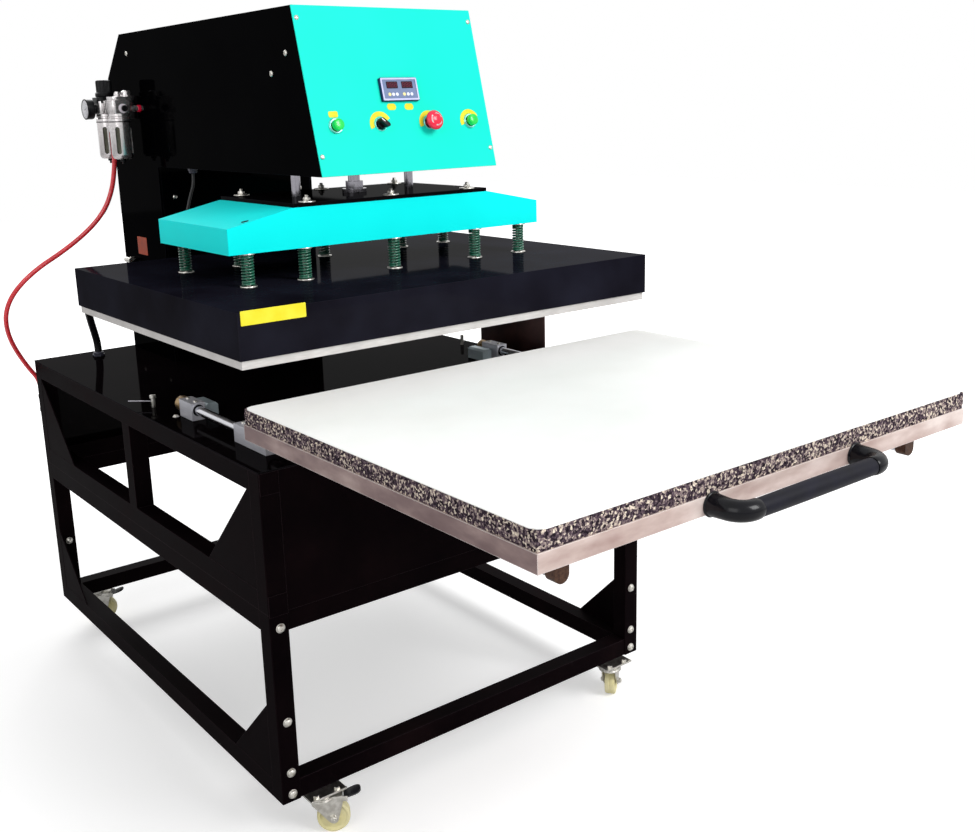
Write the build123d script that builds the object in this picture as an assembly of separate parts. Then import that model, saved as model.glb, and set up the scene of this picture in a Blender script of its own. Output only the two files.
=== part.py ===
"""Pneumatic drawer heat press, one STEP file for each sub-part, in millimetres.

X runs across the machine, Y runs from the operator to the back, Z is up.
While it is modelled, Y is measured from the front face of the heating platen.
The export moves the origin to the middle of the machine's footprint, on the floor.
"""

import os
from math import atan2, cos, hypot, pi, radians, sin, sqrt, tan

from build123d import *

# Clearances
running = 0.05
loose = 0.3
bolt_gap = 0.2

# Stand and table
caster_height = 95.0
leg_length = 395.0
box_height = 278.0
table_width = 968.0
table_depth = 1266.0
profile = 40.0
profile_corner = 2.0
tube_wall = 2.5
top_sheet = 3.0
panel_thickness = 3.0
lower_gusset = 157.0
upper_gusset_front = 207.0
upper_gusset_rear = 188.0
gusset_thickness = 3.0
gusset_inset = 0.5
strut_y = 620.0
tab_height = 42.0
tab_thickness = 1.5
lower_tab_rise = 38.0
frame_bolt_radius = 4.0
frame_bolt_head = 8.0
frame_bolt_inset = 22.0
frame_bolt_heights = (16.0, 62.0, 170.0, 365.0)
rear_leg_bolt = 170.0

# Casters
caster_inset_x = 86.0
caster_inset_y = 5.0
plate_length = 80.0
plate_width = 64.0
plate_thickness = 4.0
race_radius = 23.0
race_height = 9.0
kingpin_radius = 5.0
plate_bolt_x = 23.5
wheel_radius = 33.0
wheel_width = 24.0
wheel_bore = 4.0
pedal_length = 32.0
pedal_tilt = 18.0
trail = 22.0
fork_wall = 2.5
trail_angles = {"front_left": -30.0, "front_right": 37.0, "rear_left": -30.0, "rear_right": -20.0}

# Head and column
head_width = 432.0
side_wall = 6.0
head_front_low_y = 173.0
head_front_high_y = 257.0
head_floor_z = 1264.5
head_top_z = 1588.5
head_top_rear_y = 1141.0
head_rear_y = 1245.0
head_chamfer_z = 1483.0
column_front_y = 970.0
floor_plate = 6.0
cover_sheet = 2.5
panel_sheet = 2.0

# Controls, measured across the panel and up it from its lower edge
control_up = 98.0
start_x = 165.5
mode_x = -60.0
stop_x = 60.0
button_radius = 11.5
button_height = 11.0
button_travel = 4.0
stop_radius = 20.0
stop_height = 24.0
stop_travel = 5.0
stem_radius = 5.0
control_depth = 36.0
module_x = -3.5
module_up = 166.5
module_width = 90.0
module_height = 47.5
module_frame = 8.0
module_depth = 68.0
key_radius = 3.5
key_height = 4.0
key_travel = 0.6
key_stand = 1.4
key_row = -10.5
key_columns = (-26.5, -17.5, -8.5, 9.0, 18.5, 27.5)

# Cylinder and guides
press_y = 405.0
bore_radius = 100.0
barrel_wall = 6.0
barrel_length = 140.0
cap_side = 224.0
cap_thickness = 30.0
piston_thickness = 35.0
piston_rod_radius = 16.0
nose_radius = 30.0
nose_length = 14.0
neck_radius = 13.0
rod_flange_radius = 27.0
rod_flange = 8.0
rod_nut = 38.0
rod_nut_height = 16.0
tie_rod_radius = 6.0
tie_rod_offset = 100.0
guide_x = 146.0
guide_radius = 10.0
guide_length = 217.0
bush_radius = 17.0
bush_length = 40.0
bush_flange_radius = 25.0
bush_flange = 6.0

# Electrical parts: x and y limits, then bottom and top above the head's floor
electrical_blocks = (
    ("contactor", -150.0, -95.0, 700.0, 780.0, 0.0, 75.0),
    ("contactor", -143.0, -102.0, 712.0, 768.0, 75.0, 85.0),
    ("relay", -60.0, 0.0, 700.0, 790.0, 0.0, 40.0),
    ("relay", -52.0, -8.0, 722.0, 768.0, 40.0, 62.0),
    ("valve", 60.0, 130.0, 690.0, 725.0, 0.0, 35.0),
    ("valve", 75.0, 95.0, 695.0, 720.0, 35.0, 75.0),
    ("supply", 50.0, 150.0, 790.0, 900.0, 0.0, 45.0),
)
terminal_strip = (-150.0, 0.0, 840.0, 865.0)
terminal_height = 28.0
terminal_pitch = 16.0
terminal_count = 9

# Pressure beam and its plate
press_plate_width = 488.0
press_plate_depth = 324.0
press_plate_thickness = 8.0
beam_half = 391.0
beam_top_half = 247.0
beam_depth = 326.0
beam_end_height = 51.0
beam_height = 81.0
beam_wall = 5.0
press_bolt_radius = 4.0
press_bolt_head = 13.0
press_bolt_columns = (-203.0, 0.0, 203.0)
press_bolt_inset = 14.0

# Springs and their studs
spring_columns = (-346.0, -218.0, 0.0, 218.0, 346.0)
spring_rows = (-147.0, 147.0)
spring_gap = 66.0
spring_radius = 11.0
spring_wire = 2.4
spring_turns = 9
washer_radius = 17.0
washer_thickness = 2.0
stud_radius = 5.0
stud_top = 16.0
stud_nut = 19.0
stud_nut_height = 8.0

# Heating platen
platen_width = 1000.0
platen_depth = 811.0
cover_height = 85.0
cover_wall = 2.0
cover_lip = 12.0
hot_plate_thickness = 16.0
hot_plate_inset = 4.0
strip_width = 30.0
strip_height = 8.0
strip_spread = (-0.42, -0.29, -0.11, 0.11, 0.29, 0.42)
strip_inset = 55.0
board_thickness = 50.0
board_inset = 30.0

# Stroke and the pad below
press_stroke = 69.0
platen_float = 6.0
pad_gap = 0.3

# Drawer
drawer_width = 988.0
drawer_depth = 788.0
drawer_overlap = 19.0
drawer_lift = 60.0
tray_thickness = 28.0
tray_skin = 8.0
tray_rim = 40.0
tray_rib = 20.0
tray_side = 114.0
foam_thickness = 29.0
foam_inset = 2.0
sheet_thickness = 3.0
sheet_corner = 8.0
drawer_travel = 780.0
shaft_x = 410.0
shaft_radius = 10.0
shaft_height = 21.0
collar_radius = 17.0
collar_length = 19.0
bracket_radius = 13.0
bracket_length = 20.0
bracket_setback = 48.0

# Slide blocks on the table
block_width = 30.0
block_height = 37.0
front_block_y = 81.0
front_block_length = 129.0
rear_block_y = 404.0
rear_block_length = 62.0
liner_wall = 2.5
side_block_width = 28.0
side_block_length = 60.0
side_block_height = 28.0
side_block_bevel = 5.0
side_block_gap = 8.0
side_block_setback = 14.0

# Handle
grip_radius = 14.0
foot_radius = 16.5
handle_half = 170.0
handle_reach = 53.0
elbow_straight = 34.0
elbow_bend = 26.0

# Small table pieces
pin_radius = 4.5
pin_height = 27.0
guard_y = 340.0
guard_length = 258.0
guard_thickness = 4.0
guard_gap = 1.5
guard_low_z = 715.0
guard_high_z = 880.0
guard_spacer_radius = 8.0

# Air unit
air_x = -273.0
regulator_y = 1127.0
air_pitch = 85.0
air_body = 52.0
air_body_z = 1375.0
air_body_height = 60.0
bowl_radius = 26.0
bowl_length = 91.0
bowl_wall = 3.0
knob_radius = 19.0
knob_height = 42.0
gauge_radius = 20.0
gauge_depth = 16.0
sight_slot_width = 11.0
sight_slot_turn = 232.0
dome_radius = 12.0
dome_height = 12.0
dome_offset = 22.0
dome_boss_top = 63.0
plug_radius = 8.0
outlet_y = 1030.0
outlet_rise = 31.0
outlet_radius = 8.0

# Hose and cables
hose_radius = 6.0
tee_radius = 9.0
tee_length = 48.0
tee_bore_depth = 18.0
tee_x = -468.0
tee_gap = 27.0
tee_top_z = 668.0
sensor_cable_radius = 3.5
heater_cable_radius = 9.5
sensor_gland_radius = 10.0
heater_gland_radius = 14.0
gland_height = 12.0

# Derived levels
seam_z = caster_height + leg_length
table_z = seam_z + box_height
tray_z = table_z + drawer_lift
pad_z = tray_z + tray_thickness + foam_thickness + sheet_thickness
hot_plate_z = pad_z + press_stroke
cover_z = hot_plate_z + hot_plate_thickness
cover_top_z = cover_z + cover_height
beam_z = cover_top_z + spring_gap
press_plate_z = beam_z + beam_height
press_top_z = press_plate_z + press_plate_thickness
shaft_z = table_z + shaft_height
half_table = table_width / 2
caster_x = half_table - caster_inset_x
half_head = head_width / 2
inner_head = half_head - side_wall
panel_tilt = atan2(head_front_high_y - head_front_low_y, head_top_z - head_floor_z)
panel_length = hypot(head_front_high_y - head_front_low_y, head_top_z - head_floor_z)
lubricator_y = regulator_y - air_pitch
tee_y = table_depth + tee_gap
drawer_front_y = drawer_overlap - drawer_depth
front_limit = drawer_front_y - handle_reach - grip_radius
rear_limit = tee_y + tee_radius
origin_y = (front_limit + rear_limit) / 2

hose_route = (
    (air_x - 5, regulator_y - air_pitch / 2, air_body_z - 25),
    (air_x - 5, regulator_y - air_pitch / 2, 1300),
    (-282, 1089, 1255),
    (-290, 1096, 1209),
    (-308, 1103, 1164),
    (-336, 1113, 1127),
    (-375, 1126, 1091),
    (-424, 1140, 1056),
    (-474, 1154, 1026),
    (-517, 1171, 989),
    (-544, 1190, 951),
    (-555, 1212, 910),
    (-552, 1232, 870),
    (-540, 1252, 830),
    (-519, 1270, 786),
    (-493, 1285, 742),
    (tee_x, tee_y, 706),
    (tee_x, tee_y, tee_top_z),
)
sensor_cable_route = (
    (-200, 800, head_floor_z - gland_height),
    (-200, 800, 1230),
    (-215, 795, 1198),
    (-230, 788, 1160),
    (-242, 782, 1122),
    (-246, 780, 1092),
    (-246, 780, cover_top_z + gland_height),
)
heater_cable_route = (
    (-440, platen_depth + gland_height, 990),
    (-440, 862, 990),
    (-436, 911, 990),
    (-427, 962, 986),
    (-415, 1012, 976),
    (-401, 1060, 957),
    (-385, 1107, 932),
    (-368, 1149, 903),
    (-353, 1177, 863),
    (-341, 1192, 826),
    (-335, 1198, 800),
    (-335, 1198, table_z + gland_height),
)


def block(x0, x1, y0, y1, z0, z1):
    """A box between two corners."""
    size = Box(x1 - x0, y1 - y0, z1 - z0)
    return Pos((x0 + x1) / 2, (y0 + y1) / 2, (z0 + z1) / 2) * size


def post(x, y, z0, z1, radius):
    """A round bar along Z."""
    return Pos(x, y, (z0 + z1) / 2) * Cylinder(radius, z1 - z0)


def bar_x(x0, x1, y, z, radius):
    """A round bar along X."""
    return Pos((x0 + x1) / 2, y, z) * Rot(0, 90, 0) * Cylinder(radius, x1 - x0)


def bar_y(x, y0, y1, z, radius):
    """A round bar along Y."""
    return Pos(x, (y0 + y1) / 2, z) * Rot(90, 0, 0) * Cylinder(radius, y1 - y0)


def prism_yz(points, x0, x1):
    """An outline in the YZ plane, extruded along X."""
    face = Plane.YZ.offset(x0) * Polygon(*points, align=None)
    return extrude(face, x1 - x0, dir=(1, 0, 0))


def prism_xz(points, y0, y1):
    """An outline in the XZ plane, extruded along Y."""
    face = Pos(0, y0, 0) * (Plane.XZ * Polygon(*points, align=None))
    return extrude(face, y1 - y0, dir=(0, 1, 0))


def tube_box(x0, x1, y0, y1, z0, z1, axis):
    """A square tube along X, Y or Z."""
    w = tube_wall
    grow = {"x": (0, w, w), "y": (w, 0, w), "z": (w, w, 0)}[axis]
    outer = block(x0, x1, y0, y1, z0, z1)
    inner = block(x0 + grow[0], x1 - grow[0], y0 + grow[1], y1 - grow[1], z0 + grow[2], z1 - grow[2])
    return outer - inner


def hexagon(across, height):
    """A hexagonal bar standing on the XY plane."""
    return extrude(RegularPolygon(across / 2 / cos(pi / 6), 6), height)


def dome(radius, height):
    """A button head standing on the XY plane."""
    sphere_radius = (radius**2 + height**2) / (2 * height)
    cap = Pos(0, 0, height - sphere_radius) * Sphere(sphere_radius)
    return cap & (Pos(0, 0, height / 2) * Cylinder(radius + 1, height))


def mirrored_x(shape):
    """The same shape on the other side of the machine's middle plane."""
    return mirror(shape, Plane.YZ)


def separate(*groups):
    """Puts solids side by side in one compound, without fusing them."""
    solids = []
    for group in groups:
        items = group if isinstance(group, (list, tuple)) else [group]
        for item in items:
            solids.extend(item.solids())
    return Compound(children=solids)


def corner_post(side_x, side_y, z0, z1):
    """A square tube upright at one corner of the frame."""
    x0, x1 = sorted((side_x * half_table, side_x * (half_table - profile)))
    y0, y1 = (0.0, profile) if side_y < 0 else (table_depth - profile, table_depth)
    outer = block(x0, x1, y0, y1, z0, z1)
    outer = fillet(outer.edges().filter_by(Axis.Z), profile_corner)
    w = tube_wall
    return outer - block(x0 + w, x1 - w, y0 + w, y1 - w, z0 - 1, z1 + 1)


corners = ((-1, -1), (1, -1), (-1, 1), (1, 1))


def frame_bolt_places():
    """Middle line of each leg bolt: x, the face's y, height, and the way its head looks."""
    places = []
    for side_x, side_y in corners:
        x = side_x * (half_table - frame_bolt_inset)
        y = 0.0 if side_y < 0 else table_depth
        for height in frame_bolt_heights:
            places.append((x, y, caster_height + height, side_y))
        if side_y > 0:
            places.append((x, table_depth - profile, caster_height + rear_leg_bolt, -1))
    return places


def bolt_holes():
    """Drilled ways for the leg bolts, through one wall of the tube."""
    reach = tube_wall + 2
    holes = []
    for x, y, z, out in frame_bolt_places():
        inner = y - out * reach
        holes.append(bar_y(x, min(y, inner), max(y, inner), z, frame_bolt_radius + bolt_gap))
    return holes


def stand_legs():
    legs = []
    for side_x, side_y in corners:
        leg = corner_post(side_x, side_y, caster_height, seam_z)
        for hole in bolt_holes():
            leg = leg - hole
        legs.append(leg)
    return separate(legs)


def rail_ring(z):
    """Four square tubes at one level, between the corner posts."""
    inside = half_table - profile
    near = panel_thickness
    far = table_depth - panel_thickness
    top = z + profile
    side = tube_box(-half_table, -inside, profile, table_depth - profile, z, top, "y")
    across = [
        tube_box(-inside, inside, near, near + profile, z, top, "x"),
        tube_box(-inside, inside, far - profile, far, z, top, "x"),
    ]
    return [side, mirrored_x(side)] + across


def stand_rails():
    return separate(rail_ring(caster_height), rail_ring(seam_z - profile))


def table_frame():
    """Corner posts, rails and side struts of the upper box."""
    posts = [corner_post(sx, sy, seam_z, table_z - top_sheet) for sx, sy in corners]
    low = rail_ring(seam_z)
    high = rail_ring(table_z - top_sheet - profile)
    strut = tube_box(-half_table, -half_table + profile, strut_y, strut_y + profile,
                     seam_z + profile, table_z - top_sheet - profile, "z")
    return separate(posts, low, high, strut, mirrored_x(strut))


def gusset(size, z, space, near_front):
    """A plate in the corner between a post and the side rail below it, cut off at a rail above."""
    out = half_table - gusset_inset
    height = min(size, space)
    points = [(profile, z), (profile + size, z), (profile + size - height, z + height)]
    if height < size:
        points.append((profile, z + height))
    if not near_front:
        points = [(table_depth - y, zz) for y, zz in points]
    return prism_yz(points, -out, -out + gusset_thickness)


def corner_plates():
    """Gussets at the corners of both sides, and the cover tabs on the front corners."""
    plates = []
    stand_space = leg_length - 2 * profile
    box_space = box_height - top_sheet - 2 * profile
    for near_front, upper in ((True, upper_gusset_front), (False, upper_gusset_rear)):
        for size, z, space in ((lower_gusset, caster_height + profile, stand_space),
                               (upper, seam_z + profile, box_space)):
            plate = gusset(size, z, space, near_front)
            plates += [plate, mirrored_x(plate)]
    for top in (table_z - top_sheet, seam_z + lower_tab_rise):
        tab = block(-half_table + 1, -half_table + profile, -tab_thickness, 0, top - tab_height, top)
        plates += [tab, mirrored_x(tab)]
    return separate(plates)


def table_top():
    """Top sheet, with the sheet that closes the back of the box."""
    under = table_z - top_sheet
    half = half_table - profile
    top = block(-half_table, half_table, 0, table_depth, under, table_z)
    return top + block(-half, half, table_depth - panel_thickness, table_depth, seam_z + loose, under)


def front_panel():
    half = half_table - profile
    return block(-half, half, 0, panel_thickness, seam_z + loose, table_z - top_sheet)


def fasteners():
    """Bolts of the stand and screws of the head's panels."""
    pieces = []
    length = tube_wall + 8
    for x, y, z, out in frame_bolt_places():
        head = dome(frame_bolt_head, 5.0) + Pos(0, 0, -length / 2) * Cylinder(frame_bolt_radius, length)
        turn = Rot(90, 0, 0) if out < 0 else Rot(-90, 0, 0)
        pieces.append(Pos(x, y, z) * turn * head)
    for y, z in ((285, 1501), (348, 1464), (1100, 1540), (1180, 820), (1010, 820)):
        head = Rot(0, 90, 0) * dome(6.0, 3.5)
        pieces.append(Pos(half_head, y, z) * head)
        pieces.append(mirrored_x(pieces[-1]))
    for x in (-1, 1):
        pieces.append(Pos(x * 178, column_front_y, 1188) * Rot(90, 0, 0) * dome(6.0, 3.5))
        for up in (39, panel_length - 25):
            pieces.append(on_panel(x * (half_head - 8), up) * (Pos(0, 0, panel_sheet) * dome(5.0, 3.0)))
    return separate(pieces)


def side_outline():
    """Outline of a side plate: head above, column behind."""
    return [
        (head_front_low_y, head_floor_z),
        (head_front_high_y, head_top_z),
        (head_top_rear_y, head_top_z),
        (head_rear_y, head_chamfer_z),
        (head_rear_y, table_z),
        (column_front_y, table_z),
        (column_front_y, head_floor_z),
    ]


def side_panels():
    left = prism_yz(side_outline(), -half_head, -inner_head)
    return separate(left, mirrored_x(left))


def head_cover():
    """One folded sheet over the head, down its back and down the column."""
    t = cover_sheet
    outer = [
        (head_front_high_y, head_top_z),
        (head_top_rear_y, head_top_z),
        (head_rear_y, head_chamfer_z),
        (head_rear_y, table_z),
    ]
    inner = [
        (head_rear_y - t, table_z),
        (head_rear_y - t, head_chamfer_z - t * 0.4),
        (head_top_rear_y - t * 0.4, head_top_z - t),
        (head_front_high_y, head_top_z - t),
    ]
    return prism_yz(outer + inner, -inner_head, inner_head)


def on_panel(x, up):
    """Place on the control panel's outer plane, with local Z pointing out of it."""
    y = head_front_low_y + up * sin(panel_tilt)
    z = head_floor_z + up * cos(panel_tilt)
    out = (0, -cos(panel_tilt), sin(panel_tilt))
    return Plane(origin=(x, y, z), x_dir=(1, 0, 0), z_dir=out)


control_places = {
    "left": (-start_x, control_up),
    "mode": (mode_x, control_up),
    "stop": (stop_x, control_up),
    "right": (start_x, control_up),
}


def control_panel():
    sheet = Pos(0, panel_length / 2, panel_sheet / 2) * Box(head_width, panel_length, panel_sheet)
    for x, up in control_places.values():
        sheet -= Pos(x, up, 0) * Cylinder(stem_radius + 6, 10)
    sheet -= Pos(module_x, module_up, 0) * Box(module_width - 4, module_height - 3, 10)
    return on_panel(0, 0) * sheet


def controller():
    """Display module, with the collars and switch bodies of the four controls."""
    body = Pos(0, 0, -module_depth / 2) * Box(module_width - 6, module_height - 5, module_depth)
    frame = Box(module_width, module_height, module_frame)
    frame = Pos(0, 0, panel_sheet + module_frame / 2) * frame
    neck = Pos(0, 0, panel_sheet / 2) * Box(module_width - 6, module_height - 5, panel_sheet)
    module = body + neck + frame
    face = panel_sheet + module_frame
    window = Box(module_width - 10, module_height - 8, 3)
    module -= Pos(0, 0, face) * window
    for x in key_columns:
        pocket = Cylinder(key_radius + loose, key_height + 1)
        module -= Pos(x, key_row, face - 1.5 - (key_height + 1) / 2 + 0.01) * pocket
    pieces = [on_panel(module_x, module_up) * module]
    for x, up in control_places.values():
        ring = Cylinder(button_radius + 3.5, 3) - Cylinder(button_radius + loose, 4)
        collar = Pos(0, 0, panel_sheet + 1.5) * ring
        body = Cylinder(stem_radius + 5.5, control_depth)
        hollow = Pos(0, 0, 3) * Cylinder(stem_radius + loose, control_depth)
        switch = Pos(0, 0, panel_sheet - control_depth / 2) * (body - hollow)
        pieces.append(on_panel(x, up) * (switch + collar_bridge(collar)))
    return separate(pieces)


def collar_bridge(collar):
    """Joins a control's collar to its switch body with a flat web."""
    web = Cylinder(button_radius + 3.5, 1) - Cylinder(stem_radius + loose, 2)
    return collar + Pos(0, 0, panel_sheet + 0.5) * web


def push_stem(length):
    """A control's stem, from its cap down into the switch body."""
    return Pos(0, 0, -length / 2) * Cylinder(stem_radius, length)


def start_button(side):
    base = panel_sheet + 1 + button_travel + 0.4
    cap = Pos(0, 0, base) * (Pos(0, 0, button_height / 2 - 1) * Cylinder(button_radius, button_height - 2)
                             + Pos(0, 0, button_height - 2) * dome(button_radius, 3))
    stem = Pos(0, 0, base) * push_stem(base + control_depth - 14)
    return on_panel(*control_places[side]) * (cap + stem)


def mode_knob():
    base = panel_sheet + 1.3
    skirt = Pos(0, 0, base + 3) * Cylinder(button_radius - 1, 6)
    grip = Pos(0, 0, base + 12.5) * Box(8, 2 * button_radius + 1, 13)
    grip &= Pos(0, 0, base + 12.5) * Cylinder(button_radius + 0.5, 13)
    stem = Pos(0, 0, base) * push_stem(base + control_depth - 14)
    return on_panel(*control_places["mode"]) * Rot(0, 0, 50) * (skirt + grip + stem)


def stop_button():
    base = panel_sheet + 1 + stop_travel + 0.4
    neck_height = stop_height - 16
    neck = Pos(0, 0, base + neck_height / 2) * Cylinder(button_radius - 2, neck_height)
    flare = Cone(stop_radius - 6, stop_radius, 6, align=(Align.CENTER, Align.CENTER, Align.MIN))
    head = Pos(0, 0, base + neck_height) * flare
    cap = Pos(0, 0, base + neck_height + 6) * dome(stop_radius, stop_height - neck_height - 6)
    stem = Pos(0, 0, base) * push_stem(base + control_depth - 14)
    return on_panel(*control_places["stop"]) * (neck + head + cap + stem)


def display_key(x):
    face = panel_sheet + module_frame - 1.5
    cap = Cylinder(key_radius, key_height)
    return on_panel(module_x + x, module_up + key_row) * (Pos(0, 0, face + key_stand - key_height / 2) * cap)


def inner_plates():
    """The head's floor and the column's front plate."""
    floor = block(-inner_head, inner_head, head_front_low_y + 4, column_front_y,
                  head_floor_z, head_floor_z + floor_plate)
    floor -= post(0, press_y, head_floor_z - 5, head_floor_z + 20, nose_radius + loose)
    for side in (-1, 1):
        floor -= post(side * guide_x, press_y, head_floor_z - 5, head_floor_z + 20, guide_radius + 1)
    floor -= post(*sensor_cable_route[0][:2], head_floor_z - 5, head_floor_z + 20,
                  sensor_cable_radius + 1)
    front = block(-inner_head, inner_head, column_front_y, column_front_y + floor_plate,
                  table_z, head_floor_z + floor_plate)
    return separate(floor, front)


def cylinder_parts():
    """Barrel, end caps, tie rods and guide bushes of the press cylinder."""
    base = head_floor_z + floor_plate
    low = base + cap_thickness
    high = low + barrel_length
    top = high + cap_thickness
    half = cap_side / 2
    barrel = post(0, press_y, low, high, bore_radius + barrel_wall) - post(0, press_y, low, high, bore_radius)
    lower = block(-half, half, press_y - half, press_y + half, base, low)
    lower += post(0, press_y, base - nose_length, base, nose_radius)
    lower -= post(0, press_y, base - 30, low + 5, piston_rod_radius + running)
    upper = block(-half, half, press_y - half, press_y + half, high, top)
    pieces = [barrel, lower, upper]
    rods = []
    for dx in (-tie_rod_offset, tie_rod_offset):
        for dy in (-tie_rod_offset, tie_rod_offset):
            x, y = dx, press_y + dy
            rods.append(post(x, y, base + 4, top + 12, tie_rod_radius) + Pos(x, y, top) * hexagon(19, 9))
            hole = post(x, y, base + 4, top + 1, tie_rod_radius + bolt_gap)
            pieces[1] -= hole
            pieces[2] -= hole
    for side in (-1, 1):
        x = side * guide_x
        bush = post(x, press_y, base, base + bush_length, bush_radius)
        bush += post(x, press_y, base, base + bush_flange, bush_flange_radius)
        rods.append(bush - post(x, press_y, base - 5, base + bush_length + 5, guide_radius + running))
    return separate(pieces, rods)


def electrical_parts():
    """Contactor, relay, terminal strip, air valve and supply on the head's floor."""
    floor = head_floor_z + floor_plate
    pieces = {}
    for name, x0, x1, y0, y1, low, high in electrical_blocks:
        piece = block(x0, x1, y0, y1, floor + low, floor + high)
        pieces[name] = pieces[name] + piece if name in pieces else piece
    x0, x1, y0, y1 = terminal_strip
    strip = block(x0, x1, y0, y1, floor, floor + terminal_height)
    for step in range(terminal_count):
        near = x0 + 6 + step * terminal_pitch
        strip -= block(near, near + 10, y0 - 4, y1 + 4, floor + terminal_height - 8, floor + terminal_height + 12)
    return separate(list(pieces.values()), strip)


def press_rods():
    """Piston with its rod, the rod's nut, and the two guide rods."""
    base = head_floor_z + floor_plate
    high = base + cap_thickness + barrel_length - 2
    neck_top = base - nose_length
    rod = post(0, press_y, neck_top, high, piston_rod_radius)
    rod += post(0, press_y, high - piston_thickness, high, bore_radius - running)
    rod += post(0, press_y, press_top_z, neck_top, neck_radius)
    rod += post(0, press_y, press_top_z, press_top_z + rod_flange, rod_flange_radius)
    nut_z = press_top_z + rod_flange
    nut = Pos(0, press_y, nut_z) * hexagon(rod_nut, rod_nut_height)
    nut -= post(0, press_y, nut_z - 1, nut_z + rod_nut_height + 1, neck_radius + running)
    guides = [post(s * guide_x, press_y, press_top_z, press_top_z + guide_length, guide_radius) for s in (-1, 1)]
    return separate(rod, nut, guides)


def bolt_points():
    """Places of the plate's bolts, which sit just inside the beam's walls."""
    row = beam_depth / 2 - beam_wall - press_bolt_inset
    return [(x, press_y + side * row) for x in press_bolt_columns for side in (-1, 1)]


def press_plate():
    half = press_plate_depth / 2
    plate = block(-press_plate_width / 2, press_plate_width / 2, press_y - half, press_y + half,
                  press_plate_z, press_top_z)
    for x, y in bolt_points():
        plate -= post(x, y, press_plate_z - 5, press_top_z + 5, press_bolt_radius + bolt_gap)
    return plate


def spring_places():
    return [(x, press_y + dy) for x in spring_columns for dy in spring_rows]


def beam_outline(inset):
    """The beam's outline in the XZ plane, drawn in by a wall."""
    slope = atan2(beam_height - beam_end_height, beam_half - beam_top_half)
    end_drop = inset / cos(slope) - inset * tan(slope)
    top_draw = inset * tan(slope / 2)
    half = beam_half - inset
    top_half = beam_top_half - top_draw
    low = beam_z + inset
    end = beam_z + beam_end_height - end_drop
    high = beam_z + beam_height - inset
    return [(-half, low), (half, low), (half, end), (top_half, high), (-top_half, high), (-half, end)]


def press_beam():
    """Hollow welded beam, with ways for the spring studs and the plate's bolts."""
    half = beam_depth / 2
    beam = prism_xz(beam_outline(0), press_y - half, press_y + half)
    beam -= prism_xz(beam_outline(beam_wall), press_y - half + beam_wall, press_y + half - beam_wall)
    for x, y in spring_places():
        beam -= post(x, y, beam_z - 1, beam_z + beam_wall + 1, stud_radius + 2 * loose)
    for x, y in bolt_points():
        top = beam_z + beam_height
        beam -= post(x, y, top - beam_wall - 1, top + 1, press_bolt_radius + bolt_gap)
    return beam


def press_bolts():
    """Bolts that hold the plate to the beam, and the springs' upper washers."""
    pieces = []
    length = press_plate_thickness + beam_wall + 14
    for x, y in bolt_points():
        washer = Cylinder(washer_radius, 2) - Cylinder(press_bolt_radius + bolt_gap, 3)
        bolt = Pos(0, 0, 2) * hexagon(press_bolt_head, 7) + post(0, 0, 2 - length, 14, press_bolt_radius)
        nut_z = -press_plate_thickness - beam_wall - 10
        nut = Pos(0, 0, nut_z) * hexagon(press_bolt_head, 9.5)
        nut -= Pos(0, 0, nut_z + 5) * Cylinder(press_bolt_radius + bolt_gap, 12)
        for piece in (Pos(0, 0, 1) * washer, bolt, nut):
            pieces.append(Pos(x, y, press_top_z) * piece)
    for x, y in spring_places():
        ring = post(x, y, beam_z - washer_thickness, beam_z, washer_radius)
        pieces.append(ring - post(x, y, beam_z - 5, beam_z + 1, stud_radius + 2 * loose))
    return separate(pieces)


def helix_points(radius, low, high, turns, parts):
    """Points and directions along a helix, a quarter turn apart."""
    rise = (high - low) / turns
    slope = rise / (2 * pi)
    scale = hypot(radius, slope)
    result = []
    for step in range(turns * parts + 1):
        angle = 2 * pi * step / parts
        point = Vector(radius * cos(angle), radius * sin(angle), low + slope * angle)
        course = Vector(-radius * sin(angle) / scale, radius * cos(angle) / scale, slope / scale)
        result.append((point, course))
    return result


def biarc(start, start_course, end, end_course):
    """Two tangent arcs between two points with given directions."""
    chord = end - start
    total = start_course + end_course
    spread = 2 * (1 - start_course.dot(end_course))
    along = chord.dot(total)
    reach = (sqrt(along**2 + spread * chord.dot(chord)) - along) / spread
    middle = (start + start_course * reach + end - end_course * reach) * 0.5
    first = Edge.make_tangent_arc(start, start_course, middle)
    second = Edge.make_tangent_arc(middle, first % 1, end)
    return first, second


def spring():
    """One compression spring, its wire one unbroken tube, standing on the XY plane."""
    low = spring_wire + 0.05
    high = spring_gap - 2 * washer_thickness - spring_wire - 0.05
    stations = helix_points(spring_radius, low, high, spring_turns, 4)
    edges = []
    for (start, start_course), (end, end_course) in zip(stations, stations[1:]):
        edges.extend(biarc(start, start_course, end, end_course))
    path = Wire(edges)
    first_point, first_course = stations[0]
    section = Plane(origin=first_point, z_dir=first_course) * Circle(spring_wire)
    pitch = (high - low) / spring_turns
    print("spring pitch", round(pitch, 2), "least gap between curls", round(pitch - 2 * spring_wire, 2))
    return sweep(section, path=path)


def press_springs():
    coil = spring()
    return separate([Pos(x, y, cover_top_z + washer_thickness) * coil for x, y in spring_places()])


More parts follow.
